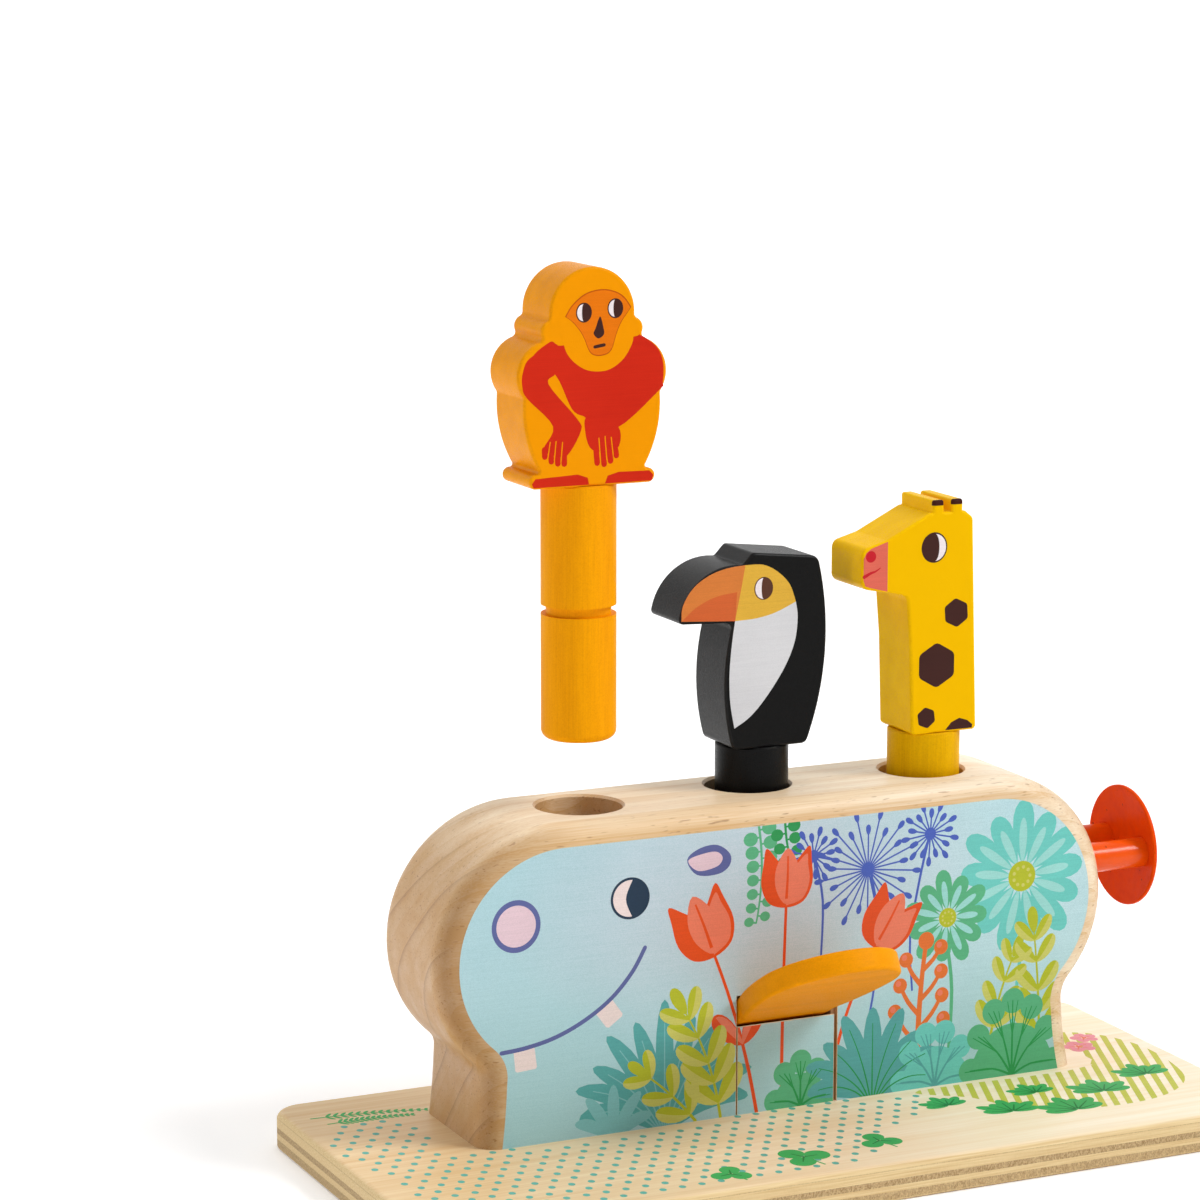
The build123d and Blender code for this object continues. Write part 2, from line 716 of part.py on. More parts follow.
# giraffe: a plank of neck, a blunt muzzle and two short horns
with BuildPart() as giraffe_figure:
    with BuildSketch(front_plane(giraffe_peg_x, head_z)) as giraffe_view:
        back_foot = (giraffe_back_reach, 0)
        front_foot = (-giraffe_front_reach, 0)
        nape = (giraffe_nape_reach, giraffe_crown_height - giraffe_nape_drop)
        bridge = (-giraffe_bridge_reach, giraffe_crown_height - giraffe_bridge_drop)
        muzzle_top = (-muzzle_reach, giraffe_crown_height - muzzle_top_drop)
        muzzle_under = (-muzzle_reach, giraffe_crown_height - muzzle_top_drop - muzzle_depth)
        throat = (-giraffe_throat_reach, giraffe_crown_height - giraffe_throat_drop)
        with BuildLine():
            Polyline(
                front_foot,
                back_foot,
                nape,
                (giraffe_crown_reach, giraffe_crown_height),
                (-giraffe_brow_reach, giraffe_crown_height),
                bridge,
                muzzle_top,
                muzzle_under,
                throat,
                (-giraffe_breast_reach, giraffe_breast_height),
                close=True,
            )
        make_face()
        for corner, corner_round in (
            (back_foot, giraffe_foot_round),
            (front_foot, giraffe_foot_round),
            (nape, giraffe_nape_round),
            ((giraffe_crown_reach, giraffe_crown_height), giraffe_brow_round),
            ((-giraffe_brow_reach, giraffe_crown_height), giraffe_brow_round),
            (bridge, giraffe_brow_round),
            (muzzle_top, muzzle_round),
            (muzzle_under, muzzle_round),
            (throat, giraffe_throat_round),
            ((-giraffe_breast_reach, giraffe_breast_height), giraffe_throat_round),
        ):
            fillet(corner_at(giraffe_view, corner), corner_round)
        with Locations((horn_middle_reach, giraffe_crown_height)):
            with GridLocations(horn_spacing, 0, 2, 1):
                Rectangle(horn_width, 2 * horn_height)
        horn_tips = giraffe_view.vertices().filter_by(lambda v: v.Y > giraffe_crown_height + horn_round)
        fillet(horn_tips, horn_round)
        horn_roots = giraffe_view.vertices().filter_by_position(
            Axis.Y, giraffe_crown_height - near, giraffe_crown_height + near
        )
        horns_reach = (horn_spacing + horn_width) / 2 + near
        fillet(horn_roots.filter_by(lambda v: abs(v.X - horn_middle_reach) < horns_reach), horn_root_round)
    extrude(amount=figure_thickness / 2, both=True)
    fillet(giraffe_figure.faces().filter_by(Axis.Y).edges(), figure_ease)
    with Locations(underside(giraffe_peg_x, head_z)):
        Hole(tenon_d / 2, depth=tenon_hole)
giraffe_figure.part.label = "giraffe_figure"
export_step(giraffe_figure.part, "parts/giraffe_figure.step")

# ---------------------------------------------------------------- push knob, rods, bridge, latch

with BuildPart() as plunger_knob:
    knob_r = knob_d / 2
    rim_x = knob_face_x - knob_dish
    with BuildSketch(front_plane(0, plunger_height)) as knob_half:
        with BuildLine():
            Line((knob_face_x, 0), (knob_face_x + knob_rim + knob_crown, 0))
            TangentArc((knob_face_x + knob_rim + knob_crown, 0), (rim_x + knob_rim, knob_r), tangent=(0, 1))
            Line((rim_x + knob_rim, knob_r), (rim_x, knob_r))
            TangentArc((knob_face_x, 0), (rim_x, knob_r), tangent=(0, 1))
        make_face()
        fillet(knob_half.vertices().sort_by(Axis.Y)[-2:], knob_rim_round)
    revolve(axis=Axis((0, block_y, plunger_height), (1, 0, 0)))
    rod_tip_x = knob_face_x + knob_socket
    with BuildSketch(Plane.YZ.offset(rim_x - cut_past)):
        with Locations((block_y, plunger_height)):
            with GridLocations(rod_spacing, 0, 2, 1):
                Circle(rod_r)
    extrude(amount=rod_tip_x - rim_x + cut_past, mode=Mode.SUBTRACT)
plunger_knob.part.label = "plunger_knob"
export_step(plunger_knob.part, "parts/plunger_knob.step")

rod_root_x = bridge_x1 - rod_socket
for name, side in (("plunger_rod_front", -1), ("plunger_rod_back", 1)):
    with BuildPart() as rod:
        with BuildSketch(Plane.YZ.offset(rod_root_x)):
            with Locations((block_y + side * rod_spacing / 2, plunger_height)):
                Circle(rod_r)
        extrude(amount=rod_tip_x - rod_root_x)
        chamfer(rod.faces().filter_by(Axis.X).edges(), rod_end_ease)
    rod.part.label = name
    export_step(rod.part, "parts/" + name + ".step")

with BuildPart() as rod_bridge:
    with BuildSketch(Plane.YZ.offset(bridge_x0)):
        with Locations((block_y, bridge_z)):
            Rectangle(bridge_width, bridge_height)
    extrude(amount=bridge_thickness)
    with BuildSketch(Plane.YZ.offset(rod_root_x)):
        with Locations((block_y, plunger_height)):
            with GridLocations(rod_spacing, 0, 2, 1):
                Circle(rod_r)
    extrude(amount=rod_socket, mode=Mode.SUBTRACT)
    with BuildSketch(Plane.YZ.offset(bridge_x0)):
        with Locations((block_y, plunger_height)):
            Rectangle(latch_width, latch_thickness)
    extrude(amount=kerf_depth, mode=Mode.SUBTRACT)
rod_bridge.part.label = "rod_bridge"
export_step(rod_bridge.part, "parts/rod_bridge.step")

with BuildPart() as latch_plate:
    with BuildSketch(Plane.XY.offset(plunger_height - latch_thickness / 2)):
        with Locations(((latch_x0 + latch_x1) / 2, block_y)):
            RectangleRounded(latch_x1 - latch_x0, latch_width, latch_corner_r)
        hole_centre_x = latch_hole_x0 + latch_hole_r + plunger_travel / 2
        with Locations((hole_centre_x + latch_gap, block_y)):
            SlotCenterToCenter(plunger_travel + 2 * latch_gap, 2 * latch_hole_r, mode=Mode.SUBTRACT)
    extrude(amount=latch_thickness)
latch_plate.part.label = "latch_plate"
export_step(latch_plate.part, "parts/latch_plate.step")

with BuildPart() as plunger_spring:
    wire_r = return_wire_d / 2
    spring_length = bridge_x0 - pocket_x0 - return_wire_d
    with BuildLine() as return_coil:
        Helix(
            pitch=spring_length / return_spring_turns,
            height=spring_length,
            radius=return_spring_mean_d / 2,
            center=(pocket_x0 + wire_r, block_y, plunger_height - return_spring_drop),
            direction=(1, 0, 0),
        )
    with BuildSketch(Plane(origin=return_coil.line @ 0, z_dir=return_coil.line % 0)):
        RegularPolygon(wire_r, return_wire_sides)
    sweep(path=return_coil.line, is_frenet=True)
plunger_spring.part.label = "plunger_spring"
export_step(plunger_spring.part, "parts/plunger_spring.step")

# ---------------------------------------------------------------- screws

with BuildPart() as body_screws:
    head_r = screw_head_d / 2
    shank_r = screw_d / 2
    for spot_x, spot_y in screw_spots:
        with BuildSketch(Plane(origin=(spot_x, spot_y, screw_sink), x_dir=(1, 0, 0), z_dir=(0, -1, 0))):
            with BuildLine():
                Polyline(
                    (0, 0),
                    (head_r, 0),
                    (shank_r, head_r - shank_r),
                    (shank_r, screw_length - screw_tip),
                    (0, screw_length),
                    close=True,
                )
            make_face()
        revolve(axis=Axis((spot_x, spot_y, 0), (0, 0, 1)))
    with BuildSketch(Plane.XY.offset(screw_sink)):
        with Locations(*screw_spots):
            Rectangle(cross_length, cross_width)
            Rectangle(cross_width, cross_length)
    extrude(amount=cross_depth, mode=Mode.SUBTRACT)
body_screws.part.label = "body_screws"
export_step(body_screws.part, "parts/body_screws.step")
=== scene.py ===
import math

import bmesh
import bpy
from mathutils import Matrix, Vector
from mathutils.geometry import delaunay_2d_cdt


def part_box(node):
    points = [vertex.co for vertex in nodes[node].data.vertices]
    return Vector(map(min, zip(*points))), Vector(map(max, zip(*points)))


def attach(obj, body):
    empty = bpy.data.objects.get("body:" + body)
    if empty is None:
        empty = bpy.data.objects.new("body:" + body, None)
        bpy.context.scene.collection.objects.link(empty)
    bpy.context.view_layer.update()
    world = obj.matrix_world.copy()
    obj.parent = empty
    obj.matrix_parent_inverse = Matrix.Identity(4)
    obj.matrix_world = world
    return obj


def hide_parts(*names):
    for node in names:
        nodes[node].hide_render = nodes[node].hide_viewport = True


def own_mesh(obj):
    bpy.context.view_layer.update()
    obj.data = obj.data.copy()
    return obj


mm = 0.001

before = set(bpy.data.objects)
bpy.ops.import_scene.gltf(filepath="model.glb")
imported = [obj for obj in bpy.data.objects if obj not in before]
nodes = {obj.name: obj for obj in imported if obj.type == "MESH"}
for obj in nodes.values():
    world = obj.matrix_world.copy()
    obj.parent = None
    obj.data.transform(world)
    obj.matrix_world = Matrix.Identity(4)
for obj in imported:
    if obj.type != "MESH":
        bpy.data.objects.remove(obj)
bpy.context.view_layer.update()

# places on the hippo's block: in metres where they come from the frame, in millimetres in the dictionary
blockLow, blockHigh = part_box("hippo_body")
frontY = blockLow.y
deckZ = blockHigh.z
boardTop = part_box("base_board")[1].z
block = {
    "endRadius": 42.8,
    "noseX": -76.8,
    "rumpX": 79.2,
    "edgeRound": 7,
    "legHeight": 30,
    "frontLeg": {"side": -1, "x": -103.5, "foot": -105.4, "knee": 6},
    "rearLeg": {"side": 1, "x": 108, "foot": 111.4, "knee": 10},
    "slotLeft": -16.4,
    "slotRight": 20.3,
    "slotTop": 51.7,
    "coverLeft": -16,
    "coverRight": 19.2,
    "coverTop": 41.4,
}
endZ = deckZ / mm - block["endRadius"]

# how far ink stands proud, and how deep its sheet reaches into the wood
inkHeight = 0.03 * mm
inkRoot = 0.06 * mm


def placed(name, data):
    made = bpy.data.objects.new(name, data)
    bpy.context.scene.collection.objects.link(made)
    return made


# a colour written as six hex digits, as linear light
def srgb(code):
    parts = [int(code[i : i + 2], 16) / 255 for i in (0, 2, 4)]
    linear = [p / 12.92 if p <= 0.04045 else ((p + 0.055) / 1.055) ** 2.4 for p in parts]
    return (*linear, 1)


# a short way to write the nodes of one material, with colours as hex digits
class Graph:
    def __init__(self, name):
        self.material = bpy.data.materials.new(name)
        self.material.use_nodes = True
        self.tree = self.material.node_tree
        self.tree.nodes.clear()
        output = self.tree.nodes.new("ShaderNodeOutputMaterial")
        self.shader = self.tree.nodes.new("ShaderNodeBsdfPrincipled")
        self.tree.links.new(self.shader.outputs[0], output.inputs[0])
        self.place = self.add("TexCoord", out="Object")
        self.normal = self.add("NewGeometry", out="Normal")

    def add(self, kind, inputs=None, out=0, **settings):
        made = self.tree.nodes.new("ShaderNode" + kind)
        for key, value in settings.items():
            setattr(made, key, value)
        for key, value in (inputs or {}).items():
            self.feed(value, made.inputs[key])
        return made.outputs[out]

    def feed(self, value, socket):
        if isinstance(value, bpy.types.NodeSocket):
            self.tree.links.new(value, socket)
        elif isinstance(value, str):
            socket.default_value = srgb(value)
        elif value is not None:
            socket.default_value = value

    def math(self, operation, a, b=None, c=None, clamp=False):
        return self.add("Math", {0: a, 1: b, 2: c}, operation=operation, use_clamp=clamp)

    def plus(self, a, b, clamp=False):
        return self.math("ADD", a, b, clamp=clamp)

    def times(self, a, b):
        return self.math("MULTIPLY", a, b)

    def timesPlus(self, a, b, c):
        return self.math("MULTIPLY_ADD", a, b, c)

    def part(self, vector, axis):
        return self.add("SeparateXYZ", {0: vector}, out=axis)

    def noise(self, scale, detail, rough, offset=(0, 0, 0)):
        scale = scale if isinstance(scale, tuple) else (scale,) * 3  # one number is for all directions
        where = self.add("Mapping", {"Vector": self.place, "Scale": scale, "Location": offset})
        inputs = {"Vector": where, "Scale": 1, "Detail": detail, "Roughness": rough}
        return self.add("TexNoise", inputs)

    def span(self, value, low, high, toLow=0, toHigh=1):
        inputs = {"Value": value, "From Min": low, "From Max": high, "To Min": toLow, "To Max": toHigh}
        return self.add("MapRange", inputs, clamp=True)

    def blend(self, factor, a, b):
        made = self.tree.nodes.new("ShaderNodeMix")
        made.data_type = "RGBA"
        self.feed(factor, made.inputs[0])
        self.feed(a, made.inputs[6])
        self.feed(b, made.inputs[7])
        return made.outputs[2]

    def bands(self, value, stops):
        made = self.tree.nodes.new("ShaderNodeValToRGB")
        made.color_ramp.interpolation = "CONSTANT"
        for position, grey in stops[1:]:
            made.color_ramp.elements.new(position)
        made.color_ramp.elements.remove(made.color_ramp.elements[-1])
        for element, (position, grey) in zip(made.color_ramp.elements, stops):
            element.position = position
            element.color = (grey, grey, grey, 1)
        self.feed(value, made.inputs[0])
        return made.outputs[0]

    def bump(self, height, strength, distance):
        return self.add("Bump", {"Height": height, "Strength": strength, "Distance": distance})

    def finish(self, colour, rough, bump=None, specular=0.3, coat=0, coatRough=0.1, metal=0):
        self.feed(colour, self.shader.inputs["Base Color"])
        self.feed(rough, self.shader.inputs["Roughness"])
        self.shader.inputs["Specular IOR Level"].default_value = specular
        self.shader.inputs["Metallic"].default_value = metal
        self.shader.inputs["Coat Weight"].default_value = coat
        self.shader.inputs["Coat Roughness"].default_value = coatRough
        self.feed(bump, self.shader.inputs["Normal"])
        return self.material


# scale of a noise that is drawn out along the wood's fibres
def along(axis, fine, coarse):
    return tuple(coarse if i == axis else fine for i in range(3))


# varnished wood: pale on top, with fibres, streaks and pores; the rounded edges and every face turned from up
# are browner with painted shade, the ends browner still with end grain and painted shade, the nose end's
# front edge deeper brown with painted shade, and the whole piece browner at the left with painted shade and
# paler towards the right with painted light
def bareWood(name, light, tan, brown, axis=0, rough=0.42):
    g = Graph(name)
    fibres = g.noise(along(axis, 2400, 40), 3, 0.6)
    streaks = g.noise(along(axis, 130, 7), 3, 0.55, (2, 1, 4))
    warp = g.timesPlus(g.noise(along(axis, 20, 3), 2, 0.5), 14 * mm, g.part(g.place, 1))
    rise = g.plus(g.times(g.part(g.place, 2), 0.75), warp)
    ring = g.math("POWER", g.math("FRACT", g.math("DIVIDE", rise, 9.5 * mm)), 5)
    # painted shade: turned is 1 on every face that turns from up, and through tone it makes that face browner
    turned = g.span(g.part(g.normal, 2), 0.55, 0.99, 1, 0)
    ended = g.span(g.math("ABSOLUTE", g.part(g.normal, axis)), 0.25, 0.95)
    tone = g.plus(g.span(fibres, 0.32, 0.7, 0, 0.3), g.span(streaks, 0.35, 0.7, 0, 0.4))
    tone = g.plus(tone, g.times(turned, 0.38))
    tone = g.timesPlus(ring, 0.24, tone)
    # painted shade and painted light: the wood is browner towards the left end and paler towards the right
    paintedLeftShadeRightLight = g.span(g.part(g.place, 0), -115 * mm, 85 * mm, 0.14, -0.16)
    paintedRightLight = g.blend(g.span(g.part(g.place, 0), -20 * mm, 110 * mm, 0, 0.6), light, "fffaec")
    colour = g.blend(g.plus(tone, paintedLeftShadeRightLight, clamp=True), paintedRightLight, tan)
    speckle = g.noise(1700, 2, 0.7, (8, 2, 5))
    darker = g.timesPlus(g.span(speckle, 0.35, 0.7), 0.25, 0.5)
    colour = g.blend(g.times(ended, darker), colour, brown)
    # painted shade: the rounded front edge at the nose end is made a deeper brown
    noseward = g.span(g.part(g.place, 0), -70 * mm, -112 * mm)
    corner = g.times(noseward, g.span(g.part(g.normal, 1), -0.2, -0.75, 0, 0.55))
    colour = g.blend(corner, colour, "86561f")
    yearLine = g.math("POWER", g.math("FRACT", g.math("DIVIDE", rise, 21 * mm)), 16)
    colour = g.blend(g.times(g.times(ended, yearLine), 0.45), colour, "7d5024")
    pores = g.noise(along(axis, 1300, 210), 1, 0.4, (5, 3, 1))
    often = g.timesPlus(turned, 0.28, 0.28)
    colour = g.blend(g.times(g.span(pores, 0.66, 0.74), often), colour, "8f5f33")
    shine = g.span(streaks, 0.3, 0.7, rough - 0.05, rough + 0.06)
    return g.finish(colour, shine, g.bump(fibres, 0.18, 0.12 * mm), coat=0.12, coatRough=0.22)


# plywood: each ply's lower border, as a share of the board's thickness, and how dark it is
plyBands = [(0, 1), (0.04, 0.25), (0.07, 0.8), (0.275, 0.12), (0.435, 0.9), (0.605, 0.1), (0.84, 0.5)]
plyBands += [(0.862, 0)]


def plywood(name):
    g = Graph(name)
    waver = g.math("SUBTRACT", g.noise((28, 28, 10), 2, 0.5), 0.5)
    level = g.math("DIVIDE", g.timesPlus(waver, 0.3 * mm, g.part(g.place, 2)), boardTop)
    depth = g.bands(level, plyBands)
    longGrain = g.noise((40, 1900, 1900), 3, 0.6)
    endGrain = g.noise((2300, 2300, 1300), 2, 0.8, (1, 2, 3))
    pale = g.blend(g.span(longGrain, 0.3, 0.72), "ead3a2", "cfae78")
    dark = g.blend(g.span(endGrain, 0.35, 0.66), "c9ad80", "87683f")
    edge = g.blend(depth, pale, dark)
    streaks = g.noise((8, 300, 300), 3, 0.6, (3, 1, 0))
    broad = g.span(streaks, 0.35, 0.7, 0, 0.55)
    figure = g.plus(broad, g.span(longGrain, 0.3, 0.7, 0, 0.3), clamp=True)
    # painted shade and painted light: the board's top is tan at the left and paler towards the right
    paintedLightAcross = g.span(g.part(g.place, 0), -120 * mm, 80 * mm)
    lightWood = g.blend(paintedLightAcross, "e9d0a4", "fff5e0")
    face = g.blend(figure, lightWood, g.blend(paintedLightAcross, "d2a86e", "f3dcb2"))
    upright = g.span(g.part(g.normal, 2), 0.75, 0.96)
    colour = g.blend(upright, edge, face)
    rough = g.span(upright, 0, 1, 0.62, 0.42)
    grain = g.blend(upright, endGrain, longGrain)
    return g.finish(colour, rough, g.bump(grain, 0.15, 0.1 * mm))


# coloured lacquer on wood: grain and small specks show on the sides, less on a printed face
def stainedWood(name, side, dark, face=None, axis=0, rough=0.4, sparkle=0.35, specular=0.03, tips=None):
    g = Graph(name)
    fibres = g.noise(along(axis, 2100, 60), 3, 0.65)
    broad = g.noise(along(axis, 180, 12), 3, 0.5, (1, 4, 2))
    specks = g.noise(1900, 2, 0.7, (7, 1, 3))
    tone = g.plus(g.span(fibres, 0.32, 0.7, 0, 0.35), g.span(broad, 0.3, 0.7, 0, 0.35))
    tone = g.plus(tone, g.span(specks, 0.4, 0.75, 0, sparkle), clamp=True)
    colour = g.blend(tone, side, dark)
    shine = g.span(specks, 0.3, 0.7, rough - 0.06, rough + 0.12)
    if face is not None:
        flat = g.span(g.math("ABSOLUTE", g.part(g.normal, 1)), 0.9, 0.99)
        printed = g.blend(g.span(fibres, 0.3, 0.75, 0, 0.2), face, dark)
        colour = g.blend(flat, colour, printed)
        shine = g.timesPlus(flat, 0.3, shine)
    if tips is not None:
        above = g.span(g.part(g.place, 2), tips["above"] - 0.1 * mm, tips["above"] + 0.1 * mm)
        before = g.span(g.part(g.place, 1), tips["before"] + 0.1 * mm, tips["before"] - 0.1 * mm)
        colour = g.blend(g.times(above, before), colour, tips["colour"])
    grain = g.plus(g.times(fibres, 0.5), specks)
    return g.finish(colour, shine, g.bump(grain, 0.45, 0.15 * mm), specular)


# printing ink on wood: a fine weave of grain and small changes of strength
def ink(name, colour, shade=None, specular=0.2):
    g = Graph(name)
    fibres = g.noise((55, 1200, 2000), 3, 0.6)
    cloud = g.noise(60, 2, 0.5, (3, 2, 1))
    grain = g.noise(3600, 1, 0.5, (1, 1, 6))
    tone = g.plus(g.span(fibres, 0.3, 0.7, 0, 0.35), g.span(cloud, 0.3, 0.7, 0, 0.3))
    tone = g.plus(tone, g.span(grain, 0.35, 0.65, 0, 0.35), clamp=True)
    darker = tuple(0.78 * c for c in srgb(colour)[:3]) + (1,)
    mixed = g.blend(tone, colour, shade or darker)
    return g.finish(mixed, g.span(cloud, 0.3, 0.7, 0.46, 0.56), g.bump(fibres, 0.08, 0.1 * mm), specular)


# the printed side's pale blue, with slow drifts to lilac in the middle and turquoise low down
def panelInk(name):
    g = Graph(name)
    across, up = g.part(g.place, 0), g.part(g.place, 2)
    offX = g.math("DIVIDE", g.math("SUBTRACT", across, -10 * mm), 75 * mm)
    offZ = g.math("DIVIDE", g.math("SUBTRACT", up, 86 * mm), 42 * mm)
    far = g.plus(g.times(offX, offX), g.times(offZ, offZ))
    fibres = g.noise((50, 1200, 2400), 3, 0.6)
    grain = g.noise(3400, 1, 0.5)
    cloud = g.noise(25, 2, 0.5)
    colour = g.blend(g.span(across, -60 * mm, 90 * mm), "b6d6de", "c9e4ea")
    colour = g.blend(g.span(up, 15 * mm, 70 * mm, 0.85, 0), colour, "a3cdd2")
    colour = g.blend(g.span(far, 0, 1.4, 0.75, 0), colour, "d2d3df")
    tone = g.plus(g.span(fibres, 0.3, 0.7, 0, 0.25), g.span(grain, 0.35, 0.65, 0, 0.4))
    tone = g.plus(tone, g.span(cloud, 0.3, 0.7, 0, 0.2), clamp=True)
    colour = g.blend(g.times(tone, 0.8), colour, "8fb8bf")
    return g.finish(colour, g.span(cloud, 0.3, 0.7, 0.46, 0.56), g.bump(fibres, 0.1, 0.1 * mm), 0.2)


def steel(name, light, dark, rough):
    g = Graph(name)
    brushed = g.noise((900, 900, 3200), 3, 0.6)
    colour = g.blend(g.span(brushed, 0.3, 0.7), light, dark)
    return g.finish(colour, g.span(brushed, 0.3, 0.7, rough - 0.05, rough + 0.08), metal=1)


# thick gloss paint with faint brush waves and a few small chips
def glossPaint(name, colour, dark, specular, coat):
    g = Graph(name)
    waves = g.noise((90, 260, 260), 3, 0.5)
    chips = g.noise(560, 1, 0.4, (4, 4, 1))
    fine = g.noise(1500, 2, 0.6, (2, 4, 1))
    mixed = g.blend(g.span(waves, 0.3, 0.7, 0, 0.5), colour, dark)
    mixed = g.blend(g.times(g.span(chips, 0.77, 0.8), 0.8), mixed, "5c1f0c")
    lumps = g.timesPlus(fine, 0.25, waves)
    shine = g.span(waves, 0.3, 0.7, 0.24, 0.34)
    return g.finish(mixed, shine, g.bump(lumps, 0.35, 0.2 * mm), specular, coat, 0.15)


# the giraffe's horns are dark where they end, from this height up and on this much of their front
giraffeLow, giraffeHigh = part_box("giraffe_figure")
hornTips = {"above": giraffeHigh.z - 1.7 * mm, "before": giraffeLow.y + 1.4 * mm, "colour": "40201b"}

# what is stained: colour of the sides, of the darker fibres and, on a figure, of the printed face
lacquers = {
    "tongueLacquer": {"side": "f59c08", "dark": "da8804"},
    "orangeLacquer": {"side": "f5a00a", "dark": "dc8804", "face": "ea9200", "rough": 0.25, "sparkle": 0.6},
    "orangePeg": {"side": "f5a404", "dark": "da8602", "axis": 2},
    "blackLacquer": {"side": "222223", "dark": "0a0a0a", "face": "0c0c0c", "rough": 0.3, "sparkle": 0.6,
                     "specular": 0.12},
    "blackPeg": {"side": "0d0d0d", "dark": "060606", "axis": 2, "rough": 0.3, "sparkle": 0.4,
                 "specular": 0.1},
    "yellowLacquer": {"side": "fccc08", "dark": "eab202", "face": "eab400", "rough": 0.26, "sparkle": 0.6,
                      "specular": 0.02, "tips": hornTips},
    "yellowPeg": {"side": "edb800", "dark": "c88f02", "axis": 2},
}
materials = {name: stainedWood(name, **settings) for name, settings in lacquers.items()}
materials |= {
    "pine": bareWood("pine", "f7e6c8", "d3aa74", "b98d5e"),
    "plywood": plywood("plywood"),
    "hardwood": bareWood("hardwood", "dcb684", "bb8a55", "a87848", axis=2, rough=0.55),
    "redKnob": glossPaint("redKnob", "e84c0a", "d03404", 0.02, 0),
    "redRods": glossPaint("redRods", "ee5606", "dc4404", 0.1, 0.3),
    "springSteel": steel("springSteel", "c9c9cb", "9a9a9e", 0.28),
    "plateSteel": steel("plateSteel", "c2c2c4", "98989c", 0.38),
    "panel": panelInk("panel"),
}
nodeMaterials = {
    "plywood": ["base_board"],
    "pine": ["hippo_body", "slot_cover"],
    "plateSteel": ["body_screws", "lever_pin", "latch_plate"],
    "tongueLacquer": ["lever_board"],
    "hardwood": ["monkey_pusher", "giraffe_pusher", "toucan_pusher", "rod_bridge"],
    "springSteel": ["monkey_spring", "giraffe_spring", "plunger_spring"],
    "orangePeg": ["monkey_peg"],
    "orangeLacquer": ["monkey_figure"],
    "blackPeg": ["toucan_peg"],
    "blackLacquer": ["toucan_figure"],
    "yellowPeg": ["giraffe_peg"],
    "yellowLacquer": ["giraffe_figure"],
    "redKnob": ["plunger_knob"],
    "redRods": ["plunger_rod_front", "plunger_rod_back"],
}
for materialName, nodeNames in nodeMaterials.items():
    for nodeName in nodeNames:
        nodes[nodeName].data.materials.clear()
        nodes[nodeName].data.materials.append(materials[materialName])
print("materials done")

# a spring's shape can't shorten by itself: a copy stands for it, fixed on the root, and the spring is hidden
springs = {
    "monkey_spring": {"joint": "monkey_press", "axis": (0, 0, 1), "travel": 13.5 * mm},
    "giraffe_spring": {"joint": "giraffe_press", "axis": (0, 0, 1), "travel": 13.5 * mm},
    "plunger_spring": {"joint": "knob_push", "axis": (1, 0, 0), "travel": 12 * mm},
}
for nodeName, spring in springs.items():
    coil = placed(nodeName.replace("spring", "coil"), nodes[nodeName].data.copy())
    coil.matrix_world = nodes[nodeName].matrix_world.copy()
    low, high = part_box(nodeName)
    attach(coil, "root")
    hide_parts(nodeName)
    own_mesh(coil)
print("springs done")


# flat outlines are lists of places (across, up), in millimetres
def arc(centre, radius, start, end, steps, squash=1):
    points = []
    for i in range(steps + 1):
        a = math.radians(start + (end - start) * i / steps)
        points.append((centre[0] + radius * math.cos(a), centre[1] + squash * radius * math.sin(a)))
    return points


def disc(centre, radius, steps=24, squash=1):
    return arc(centre, radius, 0, 360, steps, squash)[:-1]


# the place at an angle and a distance from another
def away(centre, angle, reach):
    a = math.radians(angle)
    return (centre[0] + reach * math.cos(a), centre[1] + reach * math.sin(a))


# the direction of a step, in degrees
def heading(step):
    return math.degrees(math.atan2(step.y, step.x))


# a curve through a few points
def smooth(points, closed=False, steps=5):
    count = len(points)
    curve = []
    for i in range(count if closed else count - 1):
        around = []
        for k in (-1, 0, 1, 2):
            j = (i + k) % count if closed else min(max(i + k, 0), count - 1)
            around.append(Vector(points[j]))
        a, b, c, d = around
        for step in range(steps):
            t = step / steps
            curved = (2 * a - 5 * b + 4 * c - d) * t**2 + (3 * b - a - 3 * c + d) * t**3
            curve.append(tuple(0.5 * (2 * b + (c - a) * t + curved)))
    return curve if closed else curve + [tuple(points[-1])]


# a line drawn through points, with round ends
def stroke(points, width, endWidth=None, steps=5):
    line = [Vector(p) for p in smooth(points, steps=steps)]
    endWidth = width if endWidth is None else endWidth
    left, right = [], []
    for i, p in enumerate(line):
        ahead = (line[min(i + 1, len(line) - 1)] - line[max(i - 1, 0)]).normalized()
        side = Vector((-ahead.y, ahead.x)) * 0.5 * (width + (endWidth - width) * i / (len(line) - 1))
        left.append(p + side)
        right.append(p - side)
    caps = []
    for p, centre in ((left[-1], line[-1]), (right[0], line[0])):
        start = p - centre
        angle = heading(start)
        caps.append(arc(centre, start.length, angle, angle - 180, 4)[1:-1] if start.length > 0.1 else [])
    return [tuple(p) for p in left] + caps[0] + [tuple(p) for p in reversed(right)] + caps[1]


# the midline of a stem or leaf that starts at a point and bends steadily
def bent(root, angle, length, bend=0, steps=8):
    points = [Vector(root)]
    for i in range(steps):
        a = math.radians(angle + bend * (i + 0.5) / steps)
        points.append(points[-1] + Vector((math.cos(a), math.sin(a))) * (length / steps))
    return points


